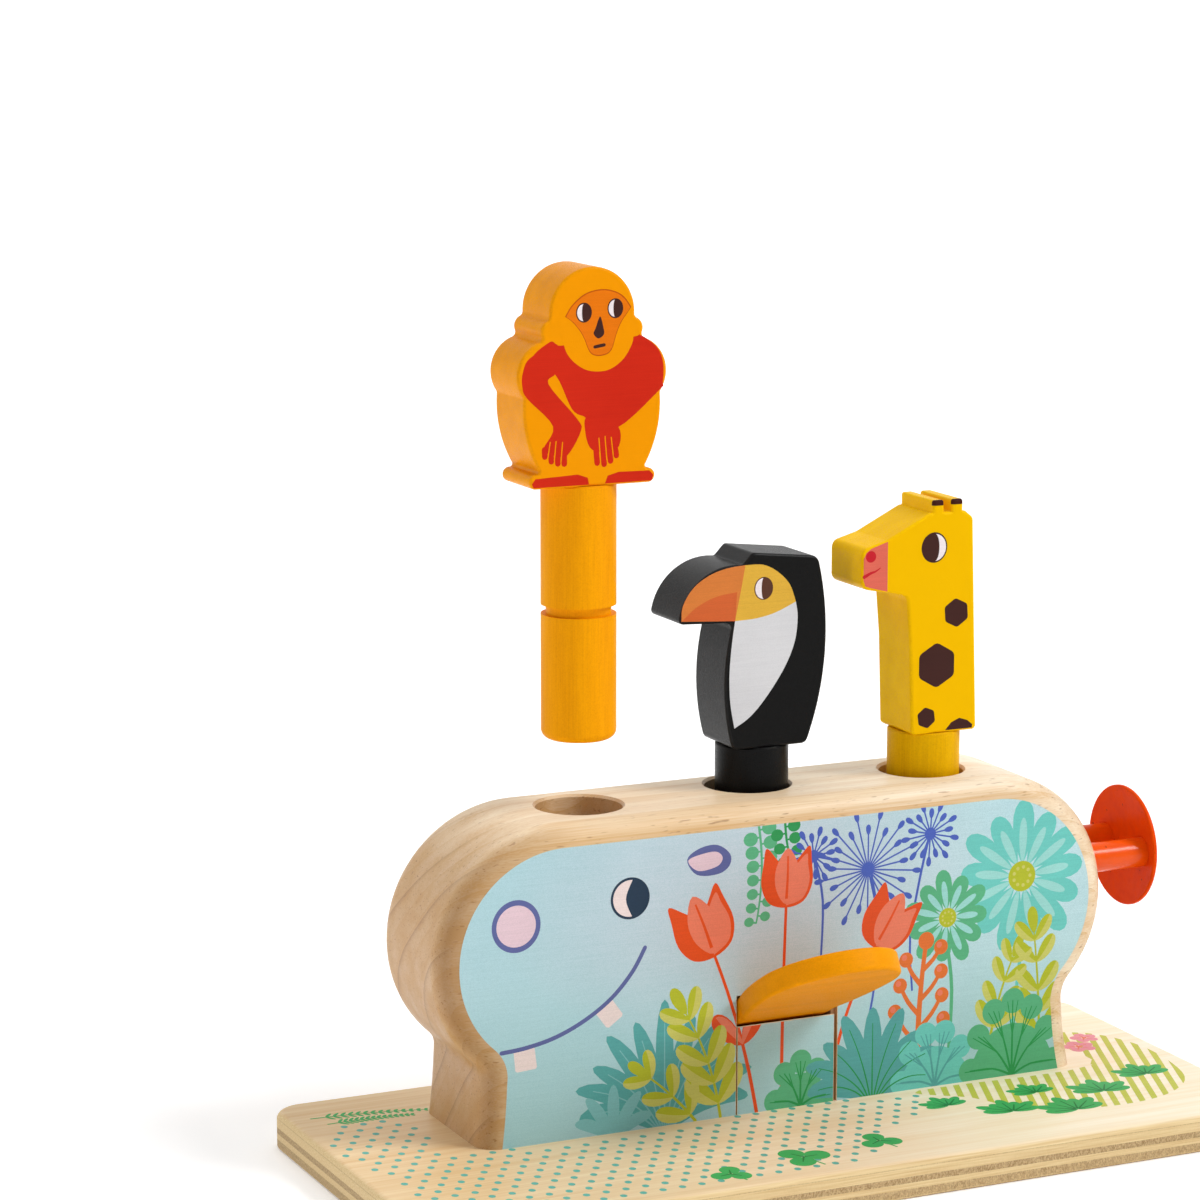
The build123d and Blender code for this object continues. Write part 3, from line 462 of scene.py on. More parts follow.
# a leaf with round ends: its widest place is a share of its length, and one side alone gives half a leaf
def leaf(root, angle, length, width, bend, widest, sides=(1, -1), steps=9):
    cuts = 12
    middle = bent(root, angle, length, bend, cuts)
    power = math.log(0.5) / math.log(widest)
    edges = {1: [], -1: []}
    for i in range(steps + 1):
        t = (1 - math.cos(math.pi * i / steps)) / 2
        k = min(int(t * cuts), cuts - 1)
        ahead = middle[k + 1] - middle[k]
        place = middle[k] + ahead * (t * cuts - k)
        across = Vector((-ahead.y, ahead.x)).normalized()
        share = t**power
        half = width * math.sqrt(max(share * (1 - share), 0))
        for side in (1, -1):
            edges[side].append(tuple(place + across * (half if side in sides else 0) * side))
    return edges[1] + edges[-1][::-1][1:-1]


def shifted(outline, dx, dy, scale=1):
    return [(dx + x * scale, dy + y * scale) for x, y in outline]


def turned(outline, angle):
    c, s = math.cos(math.radians(angle)), math.sin(math.radians(angle))
    return [(x * c - y * s, x * s + y * c) for x, y in outline]


# the part of an outline on one side of a straight line
def clip(outline, axis, limit, keepAbove):
    kept = []
    for i, p in enumerate(outline):
        q = outline[(i + 1) % len(outline)]
        pIn = p[axis] >= limit if keepAbove else p[axis] <= limit
        qIn = q[axis] >= limit if keepAbove else q[axis] <= limit
        if pIn:
            kept.append(p)
        if pIn != qIn:
            t = (limit - p[axis]) / (q[axis] - p[axis])
            kept.append((p[0] + (q[0] - p[0]) * t, p[1] + (q[1] - p[1]) * t))
    return kept


def inside(outline, low, high):
    for axis in (0, 1):
        outline = clip(outline, axis, low[axis], True)
        outline = clip(outline, axis, high[axis], False)
    return outline


# is a place inside an outline
def holds(outline, place):
    turns = 0
    for i, q in enumerate(outline):
        p = outline[i - 1]
        if (p[1] > place[1]) != (q[1] > place[1]):
            side = (q[0] - p[0]) * (place[1] - p[1]) - (place[0] - p[0]) * (q[1] - p[1])
            if (q[1] > p[1]) == (side > 0):
                turns += 1 if q[1] > p[1] else -1
    return turns != 0


# a place (across, up) on a face that looks at -Y or upwards, and how far ink stands off it
def onFront(y):
    return lambda point, height: Vector((point[0], y - height, point[1]))


def onTop(z):
    return lambda point, height: Vector((point[0], point[1], z + height))


# shapes of ink, in millimetres, laid over each other in order of level; where they overlap only the last
# is kept, so the print is one flat sheet of many inks
class Print:
    def __init__(self, name, place, body, ground=(), groundInk=None):
        self.name = name
        self.place = place
        self.body = body
        self.ground = list(ground)
        self.groundInk = groundInk
        self.shapes = []

    def put(self, level, inkName, *outlines):
        self.shapes += [(level, len(self.shapes) + i, inkName, o) for i, o in enumerate(outlines)]

    # cuts the sheet into triangles along all outlines
    def triangles(self):
        points, edges = [], []
        for outline in self.ground + [shape[3] for shape in self.shapes]:
            first, count = len(points), len(outline)
            points += [Vector(p) for p in outline]
            edges += [(first + i, first + (i + 1) % count) for i in range(count)]
        cut = delaunay_2d_cdt(points, edges, [], 0, 0.0002)
        return cut[0], cut[2]

    # the ink on top at a place, or nothing where the wood stays bare
    def inkAt(self, place, boxes):
        if self.ground and not any(holds(outline, place) for outline in self.ground):
            return None
        for (lowX, lowY, highX, highY), inkName, outline in boxes:
            if lowX < place[0] < highX and lowY < place[1] < highY and holds(outline, place):
                return inkName
        return self.groundInk

    def finish(self, inks):
        boxes = []
        for _, _, inkName, outline in sorted(self.shapes, reverse=True):  # the last put lies on top
            xs, ys = [p[0] for p in outline], [p[1] for p in outline]
            boxes.append(((min(xs), min(ys), max(xs), max(ys)), inkName, outline))
        places, triangles = self.triangles()
        mesh = bmesh.new()
        top, under, rim, slots = {}, {}, {}, []
        for triangle in triangles:
            inkName = self.inkAt(sum((places[k] for k in triangle), Vector((0, 0))) / 3, boxes)
            if inkName is None:
                continue
            for k in triangle:
                if k not in top:
                    top[k] = mesh.verts.new(self.place(places[k] * mm, inkHeight))
                    under[k] = mesh.verts.new(self.place(places[k] * mm, -inkRoot))
            if inkName not in slots:
                slots.append(inkName)
            a, b, c = triangle
            for corners in ((top[a], top[b], top[c]), (under[c], under[b], under[a])):
                mesh.faces.new(corners).material_index = slots.index(inkName)
            for edge in ((a, b), (b, c), (c, a)):
                rim[edge] = slots.index(inkName)
        for (a, b), slot in rim.items():
            if (b, a) not in rim:
                mesh.faces.new((top[a], under[a], under[b], top[b])).material_index = slot
        bmesh.ops.recalc_face_normals(mesh, faces=mesh.faces)
        data = bpy.data.meshes.new(self.name)
        mesh.to_mesh(data)
        mesh.free()
        for inkName in slots:
            data.materials.append(inks[inkName])
        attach(placed(self.name, data), self.body)


# a leg's edge, moved in by a margin, from the board up to the round end, and the angle where they meet
def legLine(leg, endX, inset):
    outward = leg["side"]
    flare = abs(leg["foot"] - leg["x"])
    bend = (block["legHeight"] ** 2 + flare**2) / (2 * flare)
    kneeX = leg["x"] + outward * leg["knee"]
    kneeZ = endZ - math.sqrt((block["endRadius"] + leg["knee"]) ** 2 - (kneeX - endX) ** 2)
    points = []
    for i in range(8):
        z = boardTop / mm + (kneeZ - boardTop / mm) * i / 8
        fall = boardTop / mm + block["legHeight"] - z
        points.append((leg["x"] + outward * (bend - math.sqrt(bend**2 - fall**2) - inset), z))
    turn = math.degrees(math.atan2(endZ - kneeZ, endX - kneeX))
    points += arc((kneeX, kneeZ), leg["knee"] + inset, 0 if outward < 0 else 180, turn, 10)
    return points, turn


# the block's outline seen from its printed side, moved in by a margin
def sideOutline(inset):
    front, frontTurn = legLine(block["frontLeg"], block["noseX"], inset)
    rear, rearTurn = legLine(block["rearLeg"], block["rumpX"], inset)
    radius = block["endRadius"] - inset
    noseEnd = arc((block["noseX"], endZ), radius, frontTurn + 180, 90, 40)
    rumpEnd = arc((block["rumpX"], endZ), radius, 90, rearTurn - 180, 40)
    return front + noseEnd[1:] + rumpEnd[:-1] + rear[::-1]


# the printed side is cut by the slot: the panel left, right and above it, and the cover below
kerf = 0.15  # bare wood along the slot's edges
wide = 200  # beyond every edge
windows = [
    ((-wide, 0), (block["slotLeft"] - kerf, wide)),
    ((block["slotRight"] + kerf, 0), (wide, wide)),
    ((block["slotLeft"] - kerf, block["slotTop"] + kerf), (block["slotRight"] + kerf, wide)),
    ((block["coverLeft"] + kerf, 0), (block["coverRight"] - kerf, block["coverTop"] - kerf)),
]
panelOutline = sideOutline(block["edgeRound"])
panel = [inside(panelOutline, *window) for window in windows]
side = Print("side_print", onFront(frontY), "root", panel, "panel")

hippo = {
    "nostril": (-93.4, 83.6),
    "nostrilRadius": 6.7,
    "ring": 1.6,
    "eye": (-54.2, 88.3),
    "eyeRadius": 6.8,
    "eyeLine": 0.85,
    "eyeCut": [(0.6, -5.9), (-1.5, -0.1), (0.8, 5.9)],
    "smile": [(-98.6, 43.3), (-90, 44), (-79.9, 46.2), (-69.8, 50.5), (-60.6, 56.6), (-53.4, 64.3),
              (-49, 71.7)],
    "smileWidth": 1.4,
    "teeth": [
        [(-94.5, 43.3), (-87.3, 43.9), (-86.5, 37.4), (-87, 36.8), (-93.3, 36.4), (-93.9, 36.9)],
        [(-66.3, 52.3), (-60.4, 56), (-56.8, 51), (-57, 50.2), (-61.6, 47), (-62.5, 47.2)],
    ],
    "ear": [(-34.3, 98.6), (-29.9, 101.9), (-23.6, 102.4), (-19, 98.9), (-19.4, 95), (-23.6, 92.8),
            (-30.9, 93.4)],
    "earInner": [(-33.9, 98.3), (-28.8, 100), (-23.9, 100.2), (-21.7, 98), (-23.7, 95.4), (-30.4, 94.6)],
}

# the face, on levels above all plants
eyeWhite = arc(hippo["eye"], hippo["eyeRadius"] - hippo["eyeLine"], 82, 276, 24)
eyeWhite += smooth(shifted(hippo["eyeCut"], *hippo["eye"]))[1:-1]
side.put(20, "faceWhite", *hippo["teeth"])
side.put(21, "faceLine", stroke(hippo["smile"], hippo["smileWidth"]), smooth(hippo["ear"], True))
side.put(21, "faceLine", disc(hippo["nostril"], hippo["nostrilRadius"] + hippo["ring"], 48, 1.02))
side.put(22, "blush", disc(hippo["nostril"], hippo["nostrilRadius"], 48), smooth(hippo["earInner"], True))
side.put(21, "navy", disc(hippo["eye"], hippo["eyeRadius"], 48))
side.put(22, "faceWhite", eyeWhite)

# inks of the face and the plants, on the printed side and on the board
printColours = {
    "teal": "58a8a8", "paleTeal": "7fbfc2", "green": "5cb585", "deepGreen": "2f9a55",
    "lime": "b9c02c", "paleLime": "cfce6a", "turquoise": "6fcdc4", "aqua": "9fdcd6",
    "red": "e4501a", "coral": "ec7f62", "orange": "e57433", "blue": "4a62bd",
    "pink": "f09aa8", "dots": "62b7a9", "clump": "41b25f", "veinGreen": "1f7a3c",
    "faceLine": "5f679f", "faceWhite": "efdedb", "blush": "e6cad4", "navy": "22384e",
}
printInks = {name: ink("print_" + name, code) for name, code in printColours.items()}
printInks |= {"stripes": ink("print_stripes", "cdcf5c", "b5b83e"), "panel": materials["panel"]}


# a tussock of blades that arch outwards from one root, each with a light rib
def tussock(root, blades, height, spread, width, inkName, level, rib=None):
    for i in range(blades):
        t = 2 * i / (blades - 1) - 1
        length = height * (1 - 0.25 * abs(t) + 0.07 * (i % 2))
        start = (root[0] + 2.5 * t, root[1])
        angle, bend = 90 - spread * 0.5 * t, -spread * 0.8 * t
        side.put(level, inkName, leaf(start, angle, length, width, bend, 0.56))
        if rib:
            ribLine = bent(start, angle, length * 0.82, bend * 0.82)[::2]
            side.put(level + 1, rib, stroke(ribLine, 0.6, 0.3, 3))


# a tulip on a stem: a two-tone cup, a lighter petal in front, and leaves in pairs
def tulip(root, angle, length, size, bend, level, leaves=()):
    stem = bent(root, angle, length, bend, 12)
    side.put(level, "red", stroke(stem[::3], 1.3, 1, 3))
    lean = heading(stem[-1] - stem[-2]) - 90
    cup = [(0, -0.06), (0.34, 0.04), (0.5, 0.36), (0.47, 0.76), (0.42, 1.02), (0.2, 0.8), (0, 0.62)]
    cup += [(-x, y) for x, y in cup[::-1][1:-1]]
    half = [(0, -0.02), (0.31, 0.08), (0.44, 0.38), (0.4, 0.7), (0.37, 0.88), (0.16, 0.68), (0, 0.5)]
    middle = [(0, 0), (0.21, 0.28), (0.22, 0.66), (0, 1), (-0.22, 0.66), (-0.21, 0.28)]
    line = stroke([(0, 0.1), (0.01, 0.5), (0, 0.86)], 0.055, 0.03, 3)
    parts = [(1, "red", smooth(cup, True, 4)), (2, "coral", smooth(half, False, 4))]
    parts += [(2, "coral", smooth(middle, True, 4)), (3, "red", line)]
    for above, inkName, part in parts:
        side.put(level + above, inkName, shifted(turned(part, lean), *stem[-1], size))
    for k, long in leaves:
        for sign in (1, -1):
            shape = (stem[k], angle - sign * 42, long, long * 0.44, sign * 16, 0.6)
            side.put(level + 1, "red", leaf(*shape))
            inner = (shape[0], shape[1], long * 0.94, long * 0.38, sign * 16, 0.6, (sign,))
            side.put(level + 2, "coral", leaf(*inner))


# a round seed head: thin rays with a drop at the end of each
def seedHead(centre, radius, rays, stem):
    side.put(3, "blue", stroke(stem, 0.95, 0.75, 4))
    for i in range(rays):
        angle = 360 * i / rays + 7
        far = radius * (1 if i % 2 else 0.72)
        side.put(3, "blue", stroke([away(centre, angle, 1.8), away(centre, angle, far)], 0.55, steps=1))
        side.put(4, "blue", leaf(away(centre, angle, far - 1.2), angle, 3.6, 1.9, 0, 0.6, steps=6))
    side.put(4, "blue", disc(centre, 2.1, 18))


# a stem with drop-shaped leaves in pairs, half of each paler
def dropBush(root, angle, length, pairs, size, bend, level):
    stem = bent(root, angle, length, bend, 16)
    side.put(level, "lime", stroke(stem[::4], 1.1, 0.6, 4))
    for i in range(pairs):
        k = 2 + int(round(13 * i / max(pairs - 1, 1)))
        ahead = heading(stem[min(k + 1, 16)] - stem[k - 1])
        long = size * (1 - 0.3 * i / pairs)
        for sign in (1, -1):
            shape = [stem[k], ahead + sign * 50, long, long * 0.44, -sign * 20, 0.6]
            side.put(level, "lime", leaf(*shape))
            side.put(level + 1, "paleLime", leaf(*shape, (sign,)))
    side.put(level, "lime", leaf(stem[-1], angle + bend, size * 0.7, size * 0.3, 0, 0.6))


# a hanging twig with round leaves
def coinTwig(root, angle, length, coins, size, inkName, bend):
    stem = bent(root, angle, length, bend, 2 * coins)
    side.put(3, inkName, stroke(stem[::3] + [stem[-1]], 0.9, 0.6, 3))
    for i in range(1, 2 * coins + 1):
        ahead = stem[i] - stem[i - 1]
        across = Vector((-ahead.y, ahead.x)).normalized() * (1 if i % 2 else -1)
        radius = size * (1 - 0.35 * i / (2 * coins))
        side.put(3, inkName, disc(stem[i] + across * (radius + 0.9), radius, 16, 0.9))
        side.put(3, inkName, stroke([stem[i], stem[i] + across * 1.4], 0.6, 0.6, 1))


# a low shrub: overlapping round lobes over a broad foot, with a fan of veins
def shrub(centre, width, height, lobes, inkName, vein, level):
    foot = (centre[0], centre[1] - 0.1 * height)
    side.put(level, inkName, disc(foot, 0.42 * width, 28, 1.7 * height / width))
    for i in range(lobes):
        a = math.pi * (1 - (i + 0.35) / (lobes - 0.3))
        lobe = 0.72 * (width + height) / lobes / 1.7
        middle = (centre[0] + (0.5 * width - lobe) * math.cos(a), centre[1] + (height - lobe) * math.sin(a))
        side.put(level, inkName, disc(middle, lobe, 20))
        bow = (0.55 * centre[0] + 0.45 * middle[0], 0.5 * centre[1] + 0.5 * middle[1] + 0.06 * height)
        side.put(level + 1, vein, stroke([(centre[0], centre[1] + 1), bow, middle], 0.9, 0.4, 4))
        for sign in (1, -1):
            aside = (middle[0] + sign * 0.45 * lobe, middle[1] - 0.05 * lobe)
            side.put(level + 1, vein, stroke([bow, aside], 0.5, 0.3, 1))


# a twig with side twigs that end in berries
def berryTwig(root, angle, length, twigs, berry, inkName, bend, level):
    stem = bent(root, angle, length, bend, 2 * twigs)
    side.put(level, inkName, stroke(stem[::2], 0.9 * berry, 0.6 * berry, 3))
    side.put(level, inkName, disc(stem[-1], 1.15 * berry, 18))
    for i in range(1, 2 * twigs - 1):
        sign = 1 if i % 2 else -1
        ahead = heading(stem[i + 1] - stem[i - 1])
        reach = length * (0.36 - 0.2 * i / (2 * twigs))
        twig = bent(stem[i], ahead + sign * 50, reach, -sign * 26, 4)
        side.put(level, inkName, stroke(twig[::2], 0.7 * berry, 0.5 * berry, 3))
        side.put(level, inkName, disc(twig[-1], berry, 18))
        side.put(level + 1, "coral", disc(twig[-1] + Vector((-0.25, 0.3)) * berry, 0.4 * berry, 12))


# a big round blossom of paddle-shaped petals, each with a paler middle
def blossom(centre, radius, petals, inkName, level, turn):
    for i in range(petals):
        angle = 360 * i / petals + turn
        foot = away(centre, angle, 0.16 * radius)
        long = radius * (0.84 if i % 2 else 0.74)
        side.put(level, inkName, leaf(foot, angle, long, 4.1 * radius / petals, 0, 0.66))
        side.put(level + 1, "aqua", leaf(foot, angle, long * 0.72, 1.5 * radius / petals, 0, 0.62))
    side.put(level + 2, "lime", disc(centre, radius * 0.2, 24))
    for i in range(9):
        side.put(level + 3, "paleLime", disc(away(centre, 40 * i, radius * 0.12), radius * 0.025, 8))


# what grows on the hippo's side, from the back to the front
coinTwig((-9, 108), -80, 33, 7, 2.7, "green", -22)
coinTwig((0.5, 108), -88, 22, 5, 2.4, "deepGreen", 24)
seedHead((31, 88.5), 17.5, 26, [(32, 88), (35, 70), (34, 50), (31, 34)])
seedHead((54, 98), 8.6, 18, [(53.5, 97), (50, 82), (47, 64), (48, 46)])
seedHead((11, 95), 7.6, 16, [(11.5, 94), (14.5, 80), (14, 60)])
side.put(2, "turquoise", stroke([(90, 62), (88, 44), (85, 20)], 1.4, 1.2, 4))
blossom((89, 80), 26, 13, "turquoise", 3, 6)
side.put(3, "green", stroke([(61, 60), (63, 44), (62, 20)], 1.3, 1.3, 4))
blossom((61, 69), 16.5, 11, "green", 4, 0)
dropBush((97, 20), 91, 40, 5, 13.5, 6, 4)
dropBush((78, 26), 80, 28, 4, 11.5, -14, 4)
tulip((-9, 12.2), 100, 57, 21, 12, 4, ((5, 15),))
tulip((0, 12.2), 90, 68, 18.5, -2, 4)
tulip((17, 12.2), 84, 54, 19, -26, 5)
berryTwig((50.5, 12.2), 92, 50, 5, 2.6, "orange", -10, 5)
tussock((-42, 11), 11, 40, 84, 6.4, "teal", 3, "paleTeal")
tussock((-60, 11), 5, 17, 70, 4.2, "paleTeal", 4)
dropBush((-22, 12.2), 98, 38, 5, 15, 22, 5)
dropBush((-31, 12.2), 128, 24, 3, 12.5, 14, 5)
shrub((7, 11), 27, 20, 5, "green", "deepGreen", 7)
tussock((33.5, 11), 9, 31, 88, 7, "teal", 7, "deepGreen")
shrub((57, 11), 34, 24, 6, "turquoise", "teal", 7)
shrub((86.5, 11), 41, 31, 7, "green", "deepGreen", 9)
side.finish(printInks)
print("printed side done")

# what is printed on the board: a field of dots, a patch of stripes and small plants
board = {
    "dotStep": 6.6,
    "dotRows": (-14, 10),
    "dotColumns": (-24, 10),
    "rowShare": 0.82,
    "dotRadius": 1.12,
    "stripes": 60,
    "stripeStep": 4.5,
    "stripeWidth": 2.1,
    "stripeTurn": 68,
    "blockFront": -6,
    "blockEnd": 117,
    "dotField": [(-146, 30), (-128, 42), (-112, 28), (-108, -4), (24, -5), (48, -12), (40, -26), (22, -38),
                 (10, -52), (-16, -63), (-70, -61), (-112, -64), (-134, -54), (-141, -20)],
    "stripePatch": [(50, -6), (62, -20), (72, -37), (94, -46), (118, -45), (136, -33), (143, -12), (143, 10),
                    (134, 27), (117, 30), (116, -6)],
}

top = Print("board_print", onTop(boardTop), "root")
dotField = smooth(board["dotField"], True)
for row in range(*board["dotRows"]):
    for column in range(*board["dotColumns"]):
        place = ((column + (row % 2) / 2) * board["dotStep"], row * board["dotStep"] * board["rowShare"])
        if holds(dotField, place):
            top.put(2, "dots", disc(place, board["dotRadius"], 12, 1.15))

# the patch, in front of the block and beyond its end, is cut into stripes: it is turned, cut and turned back
patch = smooth(board["stripePatch"], True)
beforeBlock = clip(patch, 1, board["blockFront"], False)
beyondBlock = inside(patch, (board["blockEnd"], board["blockFront"]), (wide, wide))
lowest = min(y for x, y in turned(patch, -board["stripeTurn"]))
for part in (beforeBlock, beyondBlock):
    part = turned(part, -board["stripeTurn"])
    for i in range(board["stripes"]):
        low = lowest + i * board["stripeStep"]
        strip = inside(part, (-2 * wide, low), (2 * wide, low + board["stripeWidth"]))
        if len(strip) > 2:
            top.put(2, "stripes", turned(strip, board["stripeTurn"]))
print("board pattern done")


# a small plant lying on the board: a fan of leaves with fine veins
def rosette(place, size, turn):
    for i in range(7):
        angle = turn + 12 + 156 * i / 6
        length = size * (1 if i % 2 else 0.8)
        top.put(4, "clump", leaf(place, angle, length, size * 0.36, 0, 0.6))
        vein = bent(place, angle, length * 0.7)
        top.put(5, "veinGreen", stroke([vein[1], vein[-1]], 0.7, 0.4, 1))


# a clover: three round leaves on a short stalk
def clover(place, size, turn):
    top.put(4, "clump", stroke([place, (place[0] + 0.3 * size, place[1] - size)], 0.8, 0.6, 2))
    for i in range(3):
        middle = away(place, 90 + turn + 120 * i, 0.52 * size)
        top.put(4, "clump", disc(middle, 0.47 * size, 20))
        top.put(5, "veinGreen", stroke([place, middle], 0.7, 0.4, 1))


def smallBlossom(place, size):
    for i in range(5):
        petal = away(place, 72 * i + 18, size)
        top.put(5, "pink", disc(petal, 0.68 * size, 16))
        top.put(6, "coral", stroke([place, petal], 0.5, 0.3, 1))
    top.put(7, "coral", disc(place, 0.3 * size, 12))


# a fern's frond lying on the board: slim leaves in even pairs, shorter towards the tip
def fern(root, angle, length, bend, pairs=15, size=4):
    stem = bent(root, angle, length, bend, pairs + 1)
    top.put(4, "clump", stroke(stem[::3], 0.7, 0.4, 3))
    for i in range(2, pairs + 1):
        ahead = heading(stem[i + 1] - stem[i])
        long = size * (1.05 - 0.65 * i / pairs)
        for sign in (1, -1):
            top.put(4, "clump", leaf(stem[i], ahead + sign * 58, long, 1.15, -sign * 14, 0.5))


# where each kind grows: place, size and turn, or a fern's root, direction, length and bend
plants = {
    clover: [((13, -46), 7.5, 0), ((-16, -50), 9, 30), ((-44, -55), 7, -20)],
    rosette: [((51, -24), 10, 8), ((67, -38), 12.5, -6), ((87, -45), 14, 4), ((105, -32), 13, -8),
              ((84, -24), 10, 6), ((128, -22), 12, 0)],
    smallBlossom: [((124, 14), 3.6), ((131, 22), 3), ((119, 25), 2.6)],
    fern: [((-142, 50), -3, 40, -14), ((-139, 42.5), 4, 30, -16)],
}
for grow, places in plants.items():
    for place in places:
        grow(*place)
top.finish(printInks)
print("board done")

# an animal's inks: colour, where it is darker, and how much it shines
animalColours = {
    "red": ("cd2a14", "bd2210", 0.05),
    "mask": ("e6780c", "d46a08", 0.05),
    "maskLine": ("bf520c", None, 0.05),
    "brown": ("40201b", None, 0.12),
    "white": ("f2e6e8",),
    "bib": ("d3d3d5", "c2c2c5"),
    "beak": ("d67a32",),
    "beakLow": ("cf5f28",),
    "cheek": ("dfae38",),
    "eyeBrown": ("57301f",),
    "muzzle": ("e06a58", None, 0.08),
    "nostril": ("c81f2c", None, 0.08),
}
animalInks = {name: ink("animal_" + name, *settings) for name, settings in animalColours.items()}
animalInks["orange"] = materials["orangeLacquer"]


# the print on an animal's front, in millimetres from its peg's axis and its underside
def animalPrint(animal):
    pegLow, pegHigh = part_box(animal + "_peg")
    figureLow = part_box(animal + "_figure")[0]
    origin = Vector(((pegLow.x + pegHigh.x) / 2, figureLow.z))
    front = onFront(figureLow.y)
    return Print(animal + "_print", lambda point, height: front(Vector(point) + origin, height), animal)


# the light crescent of an eye: side is -1 where it is on the left, cut is how far the pupil reaches over it
def crescent(centre, radius, squash, cut, side):
    turn = 90 if side < 0 else -90
    rim = arc(centre, radius, turn, turn + 180, 16, squash)
    inner = [(centre[0] + cut * (x - centre[0]), z) for x, z in reversed(rim)]
    return rim + inner[1:-1]


toucan = {
    "beak": [(-31, 43.7), (-30.5, 48.6), (-27, 54), (-21.3, 57.8), (-14.9, 59.7), (-8.3, 60.3)],
    "beakEnd": [(-9.7, 52.9), (-11.9, 42.4)],
    "lowTop": [(-30.8, 43.8), (-26, 47.7), (-19.1, 50.7), (-11.2, 51.8)],
    "cheek": [(-8.3, 60.3), (-1.9, 60), (3.3, 57.4), (7.7, 53), (10, 47.1)],
    "cheekLow": [(10, 47.1), (2.6, 44.1), (-4.4, 42.7), (-11.9, 42.4)],
    "bib": [(10, 47.1), (10.7, 41.9), (9.7, 34), (6.2, 26), (0.2, 17.4), (-5.9, 10.9), (-11.9, 7.2)],
    "bibFront": [(-11.9, 7.2), (-13.4, 15.4), (-13.8, 24), (-13.2, 33), (-11.9, 42.4)],
    "eye": (-1.7, 52.3),
    "eyeRadius": 3.4,
    "eyeWhite": {"radius": 3, "squash": 1.14, "cut": 0.25, "side": -1},
}
sheet = animalPrint("toucan")
beak = smooth(toucan["beak"]) + toucan["beakEnd"]
beakLow = smooth(toucan["lowTop"]) + [toucan["beakEnd"][1]]
cheekLow = smooth(toucan["cheekLow"])
cheek = smooth(toucan["cheek"]) + cheekLow[1:] + [toucan["beakEnd"][0]]
bib = smooth(toucan["bib"]) + smooth(toucan["bibFront"])[1:] + cheekLow[::-1][1:-1]
sheet.put(3, "bib", bib)
sheet.put(3, "cheek", cheek)
sheet.put(3, "beak", beak)
sheet.put(4, "beakLow", beakLow)
sheet.put(4, "eyeBrown", disc(toucan["eye"], toucan["eyeRadius"], 32, 1.1))
sheet.put(5, "white", crescent(toucan["eye"], **toucan["eyeWhite"]))
sheet.finish(animalInks)

giraffe = {
    "muzzle": [(-20.5, 65.1), (-26.6, 63.2), (-28.4, 61.9), (-29.3, 60), (-29.3, 53), (-28.6, 51),
               (-26.6, 50.3), (-20.5, 48.7)],
    "nostril": (-26.7, 60.6),
    "nostrilRadius": 1.9,
    "mouth": [(-29.1, 54.1), (-26.7, 55.2), (-24.9, 55.7), (-23.2, 56.7)],
    "eye": (-3.2, 62),
    "eyeRadius": 4.8,
    "eyeWhite": {"centre": (-3, 62), "radius": 4.15, "squash": 1.08, "cut": 0.4, "side": 1},
    "spots": [((5.4, 39.8), 4.9, 4), ((-1.7, 22.8), 7.6, 0), ((-5.3, 5.5), 3.6, 8)],
    "lowSpot": [(1.9, 0.7), (4.2, 3.2), (7.2, 4.4), (10.2, 3.4), (12.2, 1.8), (12, 0.7)],
}


# a spot with six slightly rounded corners
def spot(centre, radius, turn):
    corners = [Vector(p) for p in turned(disc((0, 0), radius, 6), 30 + turn)]
    points = []
    for i, corner in enumerate(corners):
        before, after = corners[i - 1], corners[(i + 1) % 6]
        rounded = corner.lerp((before + after) / 2, 0.08)
        points += [tuple(corner.lerp(before, 0.14)), tuple(rounded), tuple(corner.lerp(after, 0.14))]
    return shifted(points, *centre)


sheet = animalPrint("giraffe")
sheet.put(3, "muzzle", giraffe["muzzle"])
sheet.put(4, "nostril", disc(giraffe["nostril"], giraffe["nostrilRadius"]))
sheet.put(4, "nostril", stroke(giraffe["mouth"], 1.2, 0.3))
sheet.put(3, "brown", disc(giraffe["eye"], giraffe["eyeRadius"], 32, 1.05))
sheet.put(4, "white", crescent(**giraffe["eyeWhite"]))
sheet.put(3, "brown", *[spot(*s) for s in giraffe["spots"]], giraffe["lowSpot"])
sheet.finish(animalInks)

